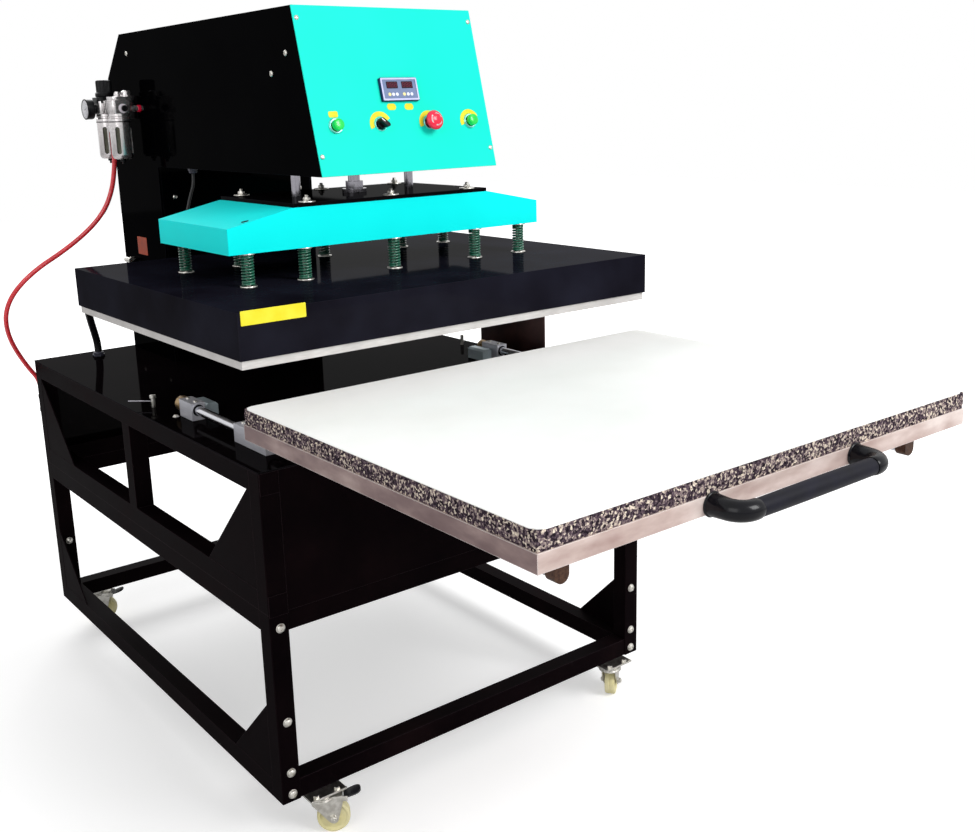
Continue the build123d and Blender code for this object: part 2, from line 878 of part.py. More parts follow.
def platen_cover():
    """Black sheet cover over the heating plate, open below with an inner lip."""
    half = platen_width / 2
    w = cover_wall
    cover = block(-half, half, 0, platen_depth, cover_z, cover_top_z)
    cover -= block(-half + w, half - w, w, platen_depth - w, cover_z + w, cover_top_z - w)
    lip = cover_lip
    cover -= block(-half + lip, half - lip, lip, platen_depth - lip, cover_z - 1, cover_z + w + 1)
    for x, y in spring_places():
        cover -= post(x, y, cover_top_z - 5, cover_top_z + 5, stud_radius + bolt_gap)
    x, y = sensor_cable_route[-1][:2]
    cover -= post(x, y, cover_top_z - 5, cover_top_z + 5, sensor_cable_radius)
    x, z = heater_cable_route[0][0], heater_cable_route[0][2]
    cover -= bar_y(x, platen_depth - 5, platen_depth + 5, z, heater_cable_radius)
    return cover


def platen_glands():
    """Cable glands that stand on the cover."""
    x, y = sensor_cable_route[-1][:2]
    upper = post(x, y, cover_top_z, cover_top_z + gland_height, sensor_gland_radius)
    x, z = heater_cable_route[0][0], heater_cable_route[0][2]
    rear = bar_y(x, platen_depth, platen_depth + gland_height, z, heater_gland_radius)
    return [upper, rear]


def heated_plate():
    half = platen_width / 2 - hot_plate_inset
    plate = block(-half, half, hot_plate_inset, platen_depth - hot_plate_inset, hot_plate_z, cover_z)
    for x, y in spring_places():
        plate -= post(x, y, cover_z - 10, cover_z + 1, stud_radius + bolt_gap)
    return plate


def heater_strips():
    """Strip elements on top of the plate."""
    strips = []
    for spread in strip_spread:
        x = spread * platen_width
        strips.append(block(x - strip_width / 2, x + strip_width / 2, strip_inset, platen_depth - strip_inset,
                            cover_z, cover_z + strip_height))
    return separate(strips)


def insulation_board():
    """Insulating board over the strips, under the cover."""
    half = platen_width / 2 - board_inset
    low = cover_z + strip_height
    board = block(-half, half, board_inset, platen_depth - board_inset, low, low + board_thickness)
    for x, y in spring_places():
        board -= post(x, y, low - 1, low + board_thickness + 1, stud_radius + 1)
    return board


def spring_bolts():
    """Studs that hang the platen from the beam, with their nuts and lower washers."""
    pieces = platen_glands()
    top = beam_z + beam_wall
    for x, y in spring_places():
        stud = post(x, y, cover_z - 9.5, top + stud_top, stud_radius)
        nut = Pos(x, y, top) * hexagon(stud_nut, stud_nut_height)
        nut -= post(x, y, top - 1, top + stud_nut_height + 1, stud_radius + running)
        washer = post(x, y, cover_top_z, cover_top_z + washer_thickness, washer_radius)
        washer -= post(x, y, cover_top_z - 1, cover_top_z + 5, stud_radius + running)
        pieces += [stud, nut, washer]
    return separate(pieces)


def drawer_tray():
    """Cast plate of the drawer, with four pockets in its underside."""
    half = drawer_width / 2
    tray = block(-half, half, drawer_front_y, drawer_overlap, tray_z, tray_z + tray_thickness)
    middle = (drawer_front_y + drawer_overlap) / 2
    outer = half - tray_side
    near = drawer_front_y + tray_rim
    for x0, x1 in ((-outer, -tray_rib / 2), (tray_rib / 2, outer)):
        pocket = block(x0, x1, near, middle - tray_rib / 2, tray_z - 1, tray_z + tray_thickness - tray_skin)
        tray = tray - pocket - mirror(pocket, Plane.XZ.offset(-middle))
    return tray


def drawer_foam():
    half = drawer_width / 2 - foam_inset
    low = tray_z + tray_thickness
    return block(-half, half, drawer_front_y + foam_inset, drawer_overlap - foam_inset,
                 low, low + foam_thickness)


def drawer_sheet():
    half = drawer_width / 2
    low = tray_z + tray_thickness + foam_thickness
    sheet = block(-half, half, drawer_front_y, drawer_overlap, low, low + sheet_thickness)
    return fillet(sheet.edges().filter_by(Axis.Z), sheet_corner)


def drawer_handle():
    """Bow handle on the drawer's front: a grip between two elbows."""
    z = tray_z + tray_thickness / 2
    y = drawer_front_y
    reach = handle_reach
    grip_end = handle_half - elbow_straight
    grip = bar_x(-grip_end, grip_end, y - reach, z, grip_radius)
    path = FilletPolyline((-handle_half, y, z), (-handle_half, y - reach, z), (-grip_end, y - reach, z),
                          radius=elbow_bend)
    section = Plane(origin=(-handle_half, y, z), z_dir=(0, -1, 0)) * Circle(foot_radius)
    elbow = sweep(section, path=path)
    return separate(grip, elbow, mirrored_x(elbow))


def drawer_runners():
    """Shafts under the drawer, with front brackets and stop collars at the back."""
    front = drawer_front_y + bracket_setback
    rear_stop = rear_block_y + rear_block_length + loose
    shaft = bar_y(shaft_x, front + 2, rear_stop + collar_length + 8, shaft_z, shaft_radius)
    bracket = bar_y(shaft_x, front, front + bracket_length, shaft_z, bracket_radius)
    bracket += block(shaft_x - bracket_radius, shaft_x + bracket_radius, front, front + bracket_length,
                     shaft_z, tray_z)
    bracket -= bar_y(shaft_x, front + 2, front + 50, shaft_z, shaft_radius + running)
    collar = bar_y(shaft_x, rear_stop, rear_stop + collar_length, shaft_z, collar_radius)
    collar -= bar_y(shaft_x, rear_stop - 5, rear_stop + 50, shaft_z, shaft_radius + running)
    one_side = [shaft, bracket, collar]
    return separate(one_side, [mirrored_x(piece) for piece in one_side])


def slide_blocks():
    """Bearing housings on the table, each with its liner, and the blocks beside them."""
    pieces = []
    half = block_width / 2
    for y, length in ((front_block_y, front_block_length), (rear_block_y, rear_block_length)):
        housing = block(shaft_x - half, shaft_x + half, y, y + length, table_z, table_z + block_height)
        housing -= bar_y(shaft_x, y - 5, y + length + 5, shaft_z, shaft_radius + liner_wall)
        liner = bar_y(shaft_x, y, y + length, shaft_z, shaft_radius + liner_wall)
        liner -= bar_y(shaft_x, y - 5, y + length + 5, shaft_z, shaft_radius + running)
        pieces += [housing, liner]
    inner = shaft_x - half - side_block_gap
    bevel = side_block_bevel
    near = rear_block_y + side_block_setback
    high = table_z + side_block_height
    outline = [(inner - side_block_width, table_z), (inner, table_z), (inner, high - bevel),
               (inner - bevel, high), (inner - side_block_width + bevel, high),
               (inner - side_block_width, high - bevel)]
    pieces.append(prism_xz(outline, near, near + side_block_length))
    return separate(pieces, [mirrored_x(piece) for piece in pieces])


def guard_plate():
    """Upright plate on spacers beside the right edge of the table."""
    inner = max(drawer_width / 2, half_table) + guard_gap
    plate = block(inner, inner + guard_thickness, guard_y, guard_y + guard_length, guard_low_z, guard_high_z)
    z = table_z - top_sheet - profile / 2
    for y in (guard_y + 60, guard_y + guard_length - 60):
        plate += bar_x(half_table, inner, y, z, guard_spacer_radius)
    return plate


def hose_tee():
    """Tee on the rear corner post: hose above, supply port below."""
    low = tee_top_z - tee_length
    tee = post(tee_x, tee_y, low, tee_top_z, tee_radius)
    tee += bar_y(tee_x, table_depth, tee_y, low + tee_length / 2, tee_radius - 2)
    tee -= post(tee_x, tee_y, low - 1, low + tee_bore_depth, hose_radius)
    return tee


def table_fittings():
    """Pins, guard plate, hose tee, side port and cable glands that stay with the frame."""
    x, y = heater_cable_route[-1][:2]
    table_gland = post(x, y, table_z, table_z + gland_height, heater_gland_radius)
    x, y = sensor_cable_route[0][:2]
    head_gland = post(x, y, head_floor_z - gland_height, head_floor_z, sensor_gland_radius)
    left_pin = post(-439, 576, table_z, table_z + pin_height, pin_radius)
    left_pin += post(-439, 576, table_z + pin_height - 7, table_z + pin_height, pin_radius + 2.5)
    right_pin = post(444, 615, table_z, table_z + pin_height, pin_radius)
    port = bar_x(-half_head - 9, -half_head, 1189, 1015, 8) + bar_y(-half_head - 14, 1172, 1206, 1015, 7)
    return separate(table_gland, head_gland, left_pin, right_pin, port, hose_tee(), guard_plate())


def air_casting(y):
    """Body of the regulator or the lubricator."""
    half = air_body / 2
    top = air_body_z + air_body_height
    body = block(air_x - half, air_x + half, y - half, y + half, air_body_z + 18, top)
    body = fillet(body.edges().filter_by(Axis.Z), 9)
    return body + post(air_x, y, air_body_z, air_body_z + 18, bowl_radius)


def air_bowl(y):
    """Metal bowl guard with sight slots, and its drain."""
    low = air_body_z - bowl_length
    bowl = post(air_x, y, low + 12, air_body_z, bowl_radius)
    bowl += Pos(air_x, y, low) * Cone(bowl_radius - 8, bowl_radius, 12,
                                      align=(Align.CENTER, Align.CENTER, Align.MIN))
    for turn in (0, 90, 180, 270):
        slot = Pos(bowl_radius, 0, 0) * Box(2 * bowl_wall, sight_slot_width, bowl_length - 24)
        slot = Rot(0, 0, turn + sight_slot_turn) * slot
        bowl -= Pos(air_x, y, low + bowl_length / 2) * slot
    return bowl + post(air_x, y, low - 10, low, 5)


def air_unit():
    """Filter-regulator and lubricator with their bowls, link and wall bracket."""
    mid = regulator_y - air_pitch / 2
    half = air_body / 2
    top = air_body_z + air_body_height
    z = air_body_z + air_body_height / 2 + 4
    link = block(air_x - 15, air_x + 15, lubricator_y + half, regulator_y - half, z - 15, z + 15)
    link += block(air_x, -half_head, mid - 12, mid + 12, z - 12, z + 12)
    link += block(-half_head - 5, -half_head, mid - 30, mid + 30, z - 30, z + 30)
    start = hose_route[0]
    link += post(start[0], start[1], start[2], z, hose_radius + 3.5)
    lubricator = air_casting(lubricator_y)
    boss_top = air_body_z + dome_boss_top
    lubricator += post(air_x + dome_offset, lubricator_y, air_body_z + 25, boss_top, dome_radius + 3)
    lubricator += Pos(air_x + dome_offset, lubricator_y, boss_top) * dome(dome_radius, dome_height)
    lubricator += post(air_x, lubricator_y, top, top + dome_height, plug_radius)
    lubricator += bar_x(air_x + half, -half_head, outlet_y, air_body_z + outlet_rise, outlet_radius)
    return separate(air_casting(regulator_y), lubricator, air_bowl(regulator_y), air_bowl(lubricator_y), link)


def air_gauge():
    half = air_body / 2
    z = air_body_z + air_body_height / 2 + 2
    stem = bar_x(air_x - half - 8, air_x - half, regulator_y, z, 6)
    return stem + bar_x(air_x - half - 8 - gauge_depth, air_x - half - 8, regulator_y, z, gauge_radius)


def regulator_knob():
    low = air_body_z + air_body_height + loose
    return post(air_x, regulator_y, low, low + knob_height, knob_radius)


def tube(route, radius, name):
    """A hose or cable: straight runs joined by arcs as large as the runs allow."""
    points = [Vector(*point) for point in route]
    runs = [end - start for start, end in zip(points, points[1:])]
    radii = []
    for before, after in zip(runs, runs[1:]):
        turn = radians(before.get_angle(after))
        radii.append(0.45 * min(before.length, after.length) / tan(turn / 2))
    path = FilletPolyline(*points, radius=radii)
    section = Plane(origin=points[0], z_dir=runs[0]) * Circle(radius)
    solid = sweep(section, path=path)
    expected = pi * radius**2 * path.length
    print(name, "length", round(path.length, 1), "volume ratio", round(solid.volume / expected, 4))
    print("  runs", [round(run.length) for run in runs])
    print("  radii", [round(value) for value in radii])
    return solid


def fork_parts():
    """Swivel fork with its axle, trailing along +X from the swivel axis at the origin."""
    top = caster_height - plate_thickness - race_height
    axle_z = wheel_radius
    cheek_y = wheel_width / 2 + 2.5
    outer = cheek_y + fork_wall
    roof = block(-22, trail + 20, -outer, outer, top - 4, top)
    cheek_outline = [(-20, top - 4), (trail + 18, top - 4), (trail + 9, axle_z - 8), (trail - 9, axle_z - 8)]
    cheek = prism_xz(cheek_outline, cheek_y, outer)
    fork = roof + cheek + mirror(cheek, Plane.XZ)
    axle = bar_y(trail, -outer - 5, outer + 5, axle_z, wheel_bore)
    kingpin = post(0, 0, top - 6, caster_height - plate_thickness, kingpin_radius)
    heads = bar_y(trail, outer, outer + 5, axle_z, 8) + bar_y(trail, -outer - 5, -outer, axle_z, 8)
    return fork + axle + heads + kingpin


def wheel_parts():
    axle_z = wheel_radius
    wheel = bar_y(trail, -wheel_width / 2, wheel_width / 2, axle_z, wheel_radius)
    wheel = fillet(wheel.edges().filter_by(GeomType.CIRCLE), 4)
    wheel -= bar_y(trail, -wheel_width / 2, wheel_width / 2, axle_z, wheel_bore + running)
    return wheel


def pedal_parts():
    """Brake pedal behind the fork's roof, on a pin across it."""
    top = caster_height - plate_thickness - race_height
    pivot_x = trail + 25
    pivot_z = top - 6
    pad = block(-3, pedal_length, -15, 15, -2, 1)
    pad = Pos(pivot_x, 0, pivot_z) * Rot(0, -pedal_tilt, 0) * pad
    return pad + bar_y(pivot_x, -15, 15, pivot_z, 4)


def pedal_pin():
    """Ears on the fork that carry the pedal's pin."""
    top = caster_height - plate_thickness - race_height
    pivot_x = trail + 25
    pivot_z = top - 6
    ears = []
    for side in (-1, 1):
        y0, y1 = sorted((side * 15.5, side * 17.5))
        ear = block(trail + 8, pivot_x + 4, y0, y1, pivot_z - 5, top)
        ears.append(ear)
    pin = bar_y(pivot_x, -17.5, 17.5, pivot_z, 2)
    roof = block(trail + 8, trail + 20, -17.5, 17.5, top - 4, top)
    return ears[0] + ears[1] + pin + roof


def caster_places():
    return {
        "front_left": (-caster_x, caster_inset_y),
        "front_right": (caster_x, caster_inset_y),
        "rear_left": (-caster_x, table_depth - caster_inset_y),
        "rear_right": (caster_x, table_depth - caster_inset_y),
    }


def at_caster(corner, shape):
    x, y = caster_places()[corner]
    return Pos(x, y, 0) * Rot(0, 0, trail_angles[corner]) * shape


def caster_plates():
    pieces = []
    top = caster_height
    low = top - plate_thickness
    for x, y in caster_places().values():
        plate = block(x - plate_length / 2, x + plate_length / 2, y - plate_width / 2, y + plate_width / 2,
                      low, top)
        plate += post(x, y, low - race_height + loose, low, race_radius)
        plate -= post(x, y, low - race_height, low + loose, kingpin_radius + running)
        for dx in (-plate_bolt_x, plate_bolt_x):
            bolt = Pos(x + dx, y - plate_width / 2 + 9, top) * hexagon(11, 5)
            if y < table_depth / 2:
                plate += bolt
        pieces.append(plate)
    return separate(pieces)


def caster_fork(corner):
    return at_caster(corner, fork_parts() + pedal_pin())


def caster_wheel(corner):
    return at_caster(corner, wheel_parts())


def caster_pedal(corner):
    top = caster_height - plate_thickness - race_height
    hole = bar_y(trail + 25, -20, 20, top - 6, 2 + running)
    return at_caster(corner, pedal_parts() - hole)


def save(name, shape):
    """Moves a finished sub-part to the machine's own origin and writes it."""
    placed = Pos(0, -origin_y, 0) * shape
    solids = placed.solids()
    export_step(Compound(children=solids) if len(solids) > 1 else solids[0], f"parts/{name}.step")


def main():
    os.makedirs("parts", exist_ok=True)
    nodes = {
        "stand_legs": stand_legs(),
        "stand_rails": stand_rails(),
        "corner_plates": corner_plates(),
        "table_frame": table_frame(),
        "table_top": table_top(),
        "front_panel": front_panel(),
        "fasteners": fasteners(),
        "side_panels": side_panels(),
        "control_panel": control_panel(),
        "head_cover": head_cover(),
        "inner_plates": inner_plates(),
        "cylinder_parts": cylinder_parts(),
        "electrical_parts": electrical_parts(),
        "controller": controller(),
        "start_button_left": start_button("left"),
        "start_button_right": start_button("right"),
        "mode_knob": mode_knob(),
        "stop_button": stop_button(),
        "air_unit": air_unit(),
        "air_gauge": air_gauge(),
        "regulator_knob": regulator_knob(),
        "air_hose": tube(hose_route, hose_radius, "air_hose"),
        "sensor_cable": tube(sensor_cable_route, sensor_cable_radius, "sensor_cable"),
        "heater_cable": tube(heater_cable_route, heater_cable_radius, "heater_cable"),
        "table_fittings": table_fittings(),
        "slide_blocks": slide_blocks(),
        "caster_plates": caster_plates(),
        "press_rods": press_rods(),
        "press_plate": press_plate(),
        "press_beam": press_beam(),
        "press_bolts": press_bolts(),
        "press_springs": press_springs(),
        "platen_cover": platen_cover(),
        "heated_plate": heated_plate(),
        "heater_strips": heater_strips(),
        "insulation_board": insulation_board(),
        "spring_bolts": spring_bolts(),
        "drawer_tray": drawer_tray(),
        "drawer_foam": drawer_foam(),
        "drawer_sheet": drawer_sheet(),
        "drawer_handle": drawer_handle(),
        "drawer_runners": drawer_runners(),
    }
    for number, x in enumerate(key_columns, start=1):
        nodes[f"display_key_{number}"] = display_key(x)
    for corner in trail_angles:
        nodes[f"caster_fork_{corner}"] = caster_fork(corner)
        nodes[f"caster_wheel_{corner}"] = caster_wheel(corner)
        nodes[f"caster_pedal_{corner}"] = caster_pedal(corner)
    for name, shape in nodes.items():
        save(name, shape)
    print("nodes", len(nodes), "origin_y", origin_y, "pad", pad_z, "levels", hot_plate_z, cover_top_z, press_top_z)


main()
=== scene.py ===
from math import atan2, cos, hypot, pi, radians, sin, tau

import bmesh
import bpy
from mathutils import Matrix, Vector


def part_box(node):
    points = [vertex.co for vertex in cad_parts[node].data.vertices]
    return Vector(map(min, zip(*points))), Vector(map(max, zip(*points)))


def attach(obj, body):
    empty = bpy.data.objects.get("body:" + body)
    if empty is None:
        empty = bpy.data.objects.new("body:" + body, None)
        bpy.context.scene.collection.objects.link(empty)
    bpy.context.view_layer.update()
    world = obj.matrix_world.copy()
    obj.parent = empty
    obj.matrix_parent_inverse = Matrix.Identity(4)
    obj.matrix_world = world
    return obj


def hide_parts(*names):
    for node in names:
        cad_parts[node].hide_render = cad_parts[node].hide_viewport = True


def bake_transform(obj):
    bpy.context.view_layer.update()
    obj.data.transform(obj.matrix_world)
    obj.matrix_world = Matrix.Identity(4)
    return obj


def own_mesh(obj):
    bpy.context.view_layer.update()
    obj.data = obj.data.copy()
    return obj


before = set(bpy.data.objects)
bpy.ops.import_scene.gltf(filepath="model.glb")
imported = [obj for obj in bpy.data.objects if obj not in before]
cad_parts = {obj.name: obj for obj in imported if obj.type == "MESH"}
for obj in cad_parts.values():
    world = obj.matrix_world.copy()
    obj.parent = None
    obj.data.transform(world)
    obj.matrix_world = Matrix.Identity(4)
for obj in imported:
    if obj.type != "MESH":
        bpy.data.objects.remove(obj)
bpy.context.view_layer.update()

# The machine is measured in millimetres, with Y counted from the heating platen's front face.
PLATEN_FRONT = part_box("platen_cover")[0].y


def ends(name, axis="z"):
    """Both ends of a CAD node's box along an axis, in the machine's millimetres."""
    origin = PLATEN_FRONT if axis == "y" else 0
    return [(getattr(corner, axis) - origin) * 1000 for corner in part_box(name)]


TABLE_TOP = ends("table_top")[1]
HALF_TABLE = ends("table_top", "x")[1]
TABLE_DEPTH = ends("table_top", "y")[1]
TRAY_LOW = ends("drawer_tray")[0]
DRAWER_HALF = ends("drawer_tray", "x")[1]
DRAWER_FRONT, DRAWER_REAR = ends("drawer_tray", "y")
FOAM_LOW, FOAM_HIGH = ends("drawer_foam")
PAD_TOP = ends("drawer_sheet")[1]
COVER_LOW, COVER_TOP = ends("platen_cover")
BEAM_LOW, BEAM_TOP = ends("press_beam")
PLATE_TOP = ends("press_plate")[1]
HEAD_HALF = ends("side_panels", "x")[1]
HEAD_TOP = ends("side_panels")[1]
# The head's floor is a 6 mm plate, and its skin a 2 mm sheet; the column's front plate stands at 970.
FLOOR_PLATE = 6
HEAD_FLOOR = ends("inner_plates")[1] - FLOOR_PLATE
PANEL_FOOT_Y = ends("side_panels", "y")[0]
PANEL_HEAD_Y = ends("head_cover", "y")[0]
PANEL_LENGTH = hypot(PANEL_HEAD_Y - PANEL_FOOT_Y, HEAD_TOP - HEAD_FLOOR)
PANEL_TILT = atan2(PANEL_HEAD_Y - PANEL_FOOT_Y, HEAD_TOP - HEAD_FLOOR)
SHEET = 2
COLUMN_FRONT = 970


def spot(x, y, z):
    """A point of the machine, in the frame's metres."""
    return Vector((x / 1000, PLATEN_FRONT + y / 1000, z / 1000))


def at(x, y, z, out=(0, 0, 1), turn=0):
    """A place in millimetres whose local Z points along out, turned about it by degrees."""
    up = Vector(out).normalized()
    side = Vector((1, 0, 0)) if abs(up.x) < 0.9 else Vector((0, 1, 0))
    across = (side - up * side.dot(up)).normalized()
    facing = Matrix((across, up.cross(across), up)).transposed().to_4x4()
    turned_about = Matrix.Rotation(radians(turn), 4, "Z")
    return Matrix.Translation(spot(x, y, z)) @ facing @ turned_about @ Matrix.Scale(0.001, 4)


def panel(x, up, lift=SHEET, turn=0):
    """A place on the control panel: across it, up it, and off its inner plane."""
    out = (0, -cos(PANEL_TILT), sin(PANEL_TILT))
    y = PANEL_FOOT_Y + up * sin(PANEL_TILT) + lift * out[1]
    z = HEAD_FLOOR + up * cos(PANEL_TILT) + lift * out[2]
    return at(x, y, z, out, turn)


def linear(colour):
    """An sRGB hex colour as linear red, green, blue and alpha."""
    channels = [int(colour[i:i + 2], 16) / 255 for i in (1, 3, 5)]
    return [c / 12.92 if c <= 0.04045 else ((c + 0.055) / 1.055) ** 2.4 for c in channels] + [1.0]


def node(tree, kind, inputs=(), **settings):
    """Adds one shader node, sets its properties, and fills or links its inputs."""
    made = tree.nodes.new(kind)
    for name, value in settings.items():
        setattr(made, name, value)
    for name, value in dict(inputs).items():
        if isinstance(value, bpy.types.NodeSocket):
            tree.links.new(value, made.inputs[name])
        else:
            made.inputs[name].default_value = value
    return made


def start(name, **values):
    """A new material with its shader; values are constants on the shader's own sockets."""
    made = bpy.data.materials.new(name)
    made.use_nodes = True
    tree = made.node_tree
    tree.nodes.clear()
    shader = node(tree, "ShaderNodeBsdfPrincipled")
    for socket, value in values.items():
        shader.inputs[SOCKETS[socket]].default_value = value
    node(tree, "ShaderNodeOutputMaterial", {"Surface": shader.outputs[0]})
    return made, tree, shader


SOCKETS = {
    "metallic": "Metallic", "coat": "Coat Weight", "coat_roughness": "Coat Roughness",
    "sheen": "Sheen Weight", "transmission": "Transmission Weight", "specular": "Specular IOR Level",
    "subsurface": "Subsurface Weight", "subsurface_scale": "Subsurface Scale",
}


def grain(tree, size, detail=3.0, stretch=(1, 1, 1), kind="ShaderNodeTexNoise", **settings):
    """A pattern whose features are about size millimetres across, stretched along the axes."""
    place = node(tree, "ShaderNodeTexCoord")
    scale = node(tree, "ShaderNodeMapping", {
        "Vector": place.outputs["Object"],
        "Scale": [1000 / size / s for s in stretch],
    })
    pattern = node(tree, kind, {"Vector": scale.outputs[0], "Scale": 1.0}, **settings)
    if kind == "ShaderNodeTexNoise":
        pattern.inputs["Detail"].default_value = detail
    return pattern


def ramp(tree, factor, stops):
    """Colours along a factor; stops are (position, hex colour)."""
    made = node(tree, "ShaderNodeValToRGB", {"Fac": factor})
    elements = made.color_ramp.elements
    while len(elements) < len(stops):
        elements.new(0.5)
    for element, (position, colour) in zip(elements, stops):
        element.position = position
        element.color = linear(colour)
    return made.outputs["Color"]


def spread(tree, factor, low, high):
    """A factor from 0 to 1 brought to a range."""
    made = node(tree, "ShaderNodeMapRange", {"Value": factor, "To Min": low, "To Max": high})
    return made.outputs["Result"]


def relief(tree, shader, height, depth, edge=0.0):
    """Bump of a depth in millimetres, over edges rounded by a radius in millimetres."""
    inputs = {"Height": height, "Distance": depth / 1000, "Strength": 1.0}
    if edge:
        rounding = node(tree, "ShaderNodeBevel", {"Radius": edge / 1000}, samples=4)
        inputs["Normal"] = rounding.outputs[0]
    bump = node(tree, "ShaderNodeBump", inputs)
    tree.links.new(bump.outputs[0], shader.inputs["Normal"])


def edge_wear_and_painted_light(tree, colour, edge_wear_and_light, radius, strength=1.0):
    """Mixes another colour into a surface along its edges: wear on the black finishes, painted shade on the
    turquoise enamel, and a painted highlight on the drawer tray.
    """
    rounding = node(tree, "ShaderNodeBevel", {"Radius": radius / 1000}, samples=4)
    face = node(tree, "ShaderNodeNewGeometry")
    dot = node(tree, "ShaderNodeVectorMath", {0: rounding.outputs[0], 1: face.outputs["Normal"]},
               operation="DOT_PRODUCT")
    mask = node(tree, "ShaderNodeMapRange", {"Value": dot.outputs["Value"], "From Min": 0.995,
                                             "From Max": 0.80, "To Min": 0.0, "To Max": strength})
    mixed = node(tree, "ShaderNodeMix", {"Factor": mask.outputs[0]}, data_type="RGBA")
    tree.links.new(colour, mixed.inputs["A"])
    mixed.inputs["B"].default_value = linear(edge_wear_and_light)
    return mixed.outputs["Result"]


def surface(name, size, stops, rough, skin, edge_wear_and_light=None, detail=3, stretch=(1, 1, 1), **values):
    """A material coloured and roughened by one cloud, with an edge colour where one is given, which is wear on
    the black finishes and painted light on the others.

    skin is the bump's grain size and detail, depth and edge radius; a size of 0 takes the cloud itself.
    """
    made, tree, shader = start(name, **values)
    cloud = grain(tree, size, detail, stretch).outputs["Fac"]
    colour = ramp(tree, cloud, stops)
    if edge_wear_and_light:
        colour = edge_wear_and_painted_light(tree, colour, *edge_wear_and_light)
    tree.links.new(colour, shader.inputs["Base Color"])
    if isinstance(rough, tuple):
        tree.links.new(spread(tree, cloud, *rough), shader.inputs["Roughness"])
    else:
        shader.inputs["Roughness"].default_value = rough
    skin_size, skin_detail, depth, edge = skin
    height = grain(tree, skin_size, skin_detail).outputs["Fac"] if skin_size else cloud
    relief(tree, shader, height, depth, edge)
    return made


def powder_coat():
    """Polyester powder, sprayed and baked on steel tube: satin black with a pebbled skin, made a little warm by
    a reddish tint that is painted reflection.
    """
    return surface("powder_coat_black", 140, [(0.3, "#070305"), (0.55, "#0c0608"), (0.75, "#130a0c")],
                   (0.42, 0.6), (2.2, 2, 0.03, 1.2), ("#3b3034", 1.5, 0.8), specular=0.01)


def stoved_enamel(name, deep, light, gloss):
    """Stoved enamel on sheet steel: a deep black under a clear skin that mirrors what stands on it."""
    return surface(name, 160, [(0.3, deep), (0.7, light)], (0.4, 0.55), (7, 2, 0.02, 1.2),
                   ("#2c2b33", 1.2, 0.8), coat=gloss, coat_roughness=0.05, specular=0.0)


def turquoise_enamel(name, deep, light, edge_shade_tone):
    """Two-pack turquoise enamel, sprayed on folded sheet: one strong colour with fine orange peel, and a darker,
    bluer tone along the edges that is painted shade.
    """
    return surface(name, 220, [(0.25, deep), (0.75, light)], (0.38, 0.48), (4, 2, 0.02, 1.2),
                   (edge_shade_tone, 1.0, 0.6), detail=2, specular=0.06)


def zinc_plate():
    """Bright zinc plating on fasteners: pale metal with a faint cloudy bloom."""
    return surface("zinc_plate", 9, [(0.3, "#b9b6ae"), (0.7, "#dedcd6")], (0.22, 0.42), (1.5, 3, 0.02, 0.4),
                   detail=4, metallic=1.0)


def ground_steel():
    """Hard-chromed shaft, ground round: mirror bright with the finest grinding rings."""
    return surface("ground_steel", 1.6, [(0.3, "#c4c5cb"), (0.7, "#dcdce0")], (0.1, 0.2), (0, 0, 0.004, 0.5),
                   detail=2, stretch=(30, 1, 1), metallic=1.0)


def milled_aluminium(name, stretch, deep="#a9a9ae", light="#d6d6da"):
    """Milled aluminium: soft grey metal with cutter lines along one axis."""
    made, tree, shader = start(name, metallic=0.4)
    lines = grain(tree, 1.2, 3, stretch=stretch).outputs["Fac"]
    cloud = grain(tree, 60, 2).outputs["Fac"]
    both = node(tree, "ShaderNodeMath", {0: lines, 1: cloud}, operation="MULTIPLY_ADD")
    both.inputs[2].default_value = 0.15
    tree.links.new(ramp(tree, both.outputs[0], [(0.15, deep), (0.7, light)]), shader.inputs["Base Color"])
    tree.links.new(spread(tree, lines, 0.28, 0.45), shader.inputs["Roughness"])
    relief(tree, shader, lines, 0.02, 0.8)
    return made


def cast_zinc():
    """Die-cast and tumbled air fittings: bright satin metal with a soft cast grain."""
    return surface("die_cast_metal", 3, [(0.3, "#bdb8b9"), (0.7, "#e3dfdf")], (0.2, 0.28), (0, 0, 0.003, 0.8),
                   detail=4, metallic=0.9)


def tray_metal(name, tones):
    """Scuffed aluminium of the drawer plate: chalky pinkish metal with cloudy rub marks, and a near-white
    painted highlight along its edges.
    """
    made, tree, shader = start(name, metallic=0.25, specular=0.3)
    rubs = grain(tree, 26, 6, stretch=(3, 3, 1)).outputs["Fac"]
    stains = grain(tree, 75, 4, stretch=(2, 2, 1)).outputs["Fac"]
    both = node(tree, "ShaderNodeMath", {0: rubs, 1: stains}, operation="ADD")
    half = node(tree, "ShaderNodeMath", {0: both.outputs[0], 1: 0.5}, operation="MULTIPLY")
    colour = ramp(tree, half.outputs[0], list(zip((0.34, 0.47, 0.55, 0.66), tones)))
    # Painted highlight: a near-white colour mixed in along every edge.
    tree.links.new(edge_wear_and_painted_light(tree, colour, "#f4ece8", 2.0, 0.9), shader.inputs["Base Color"])
    tree.links.new(spread(tree, rubs, 0.4, 0.6), shader.inputs["Roughness"])
    relief(tree, shader, grain(tree, 3).outputs["Fac"], 0.06, 1.5)
    return made


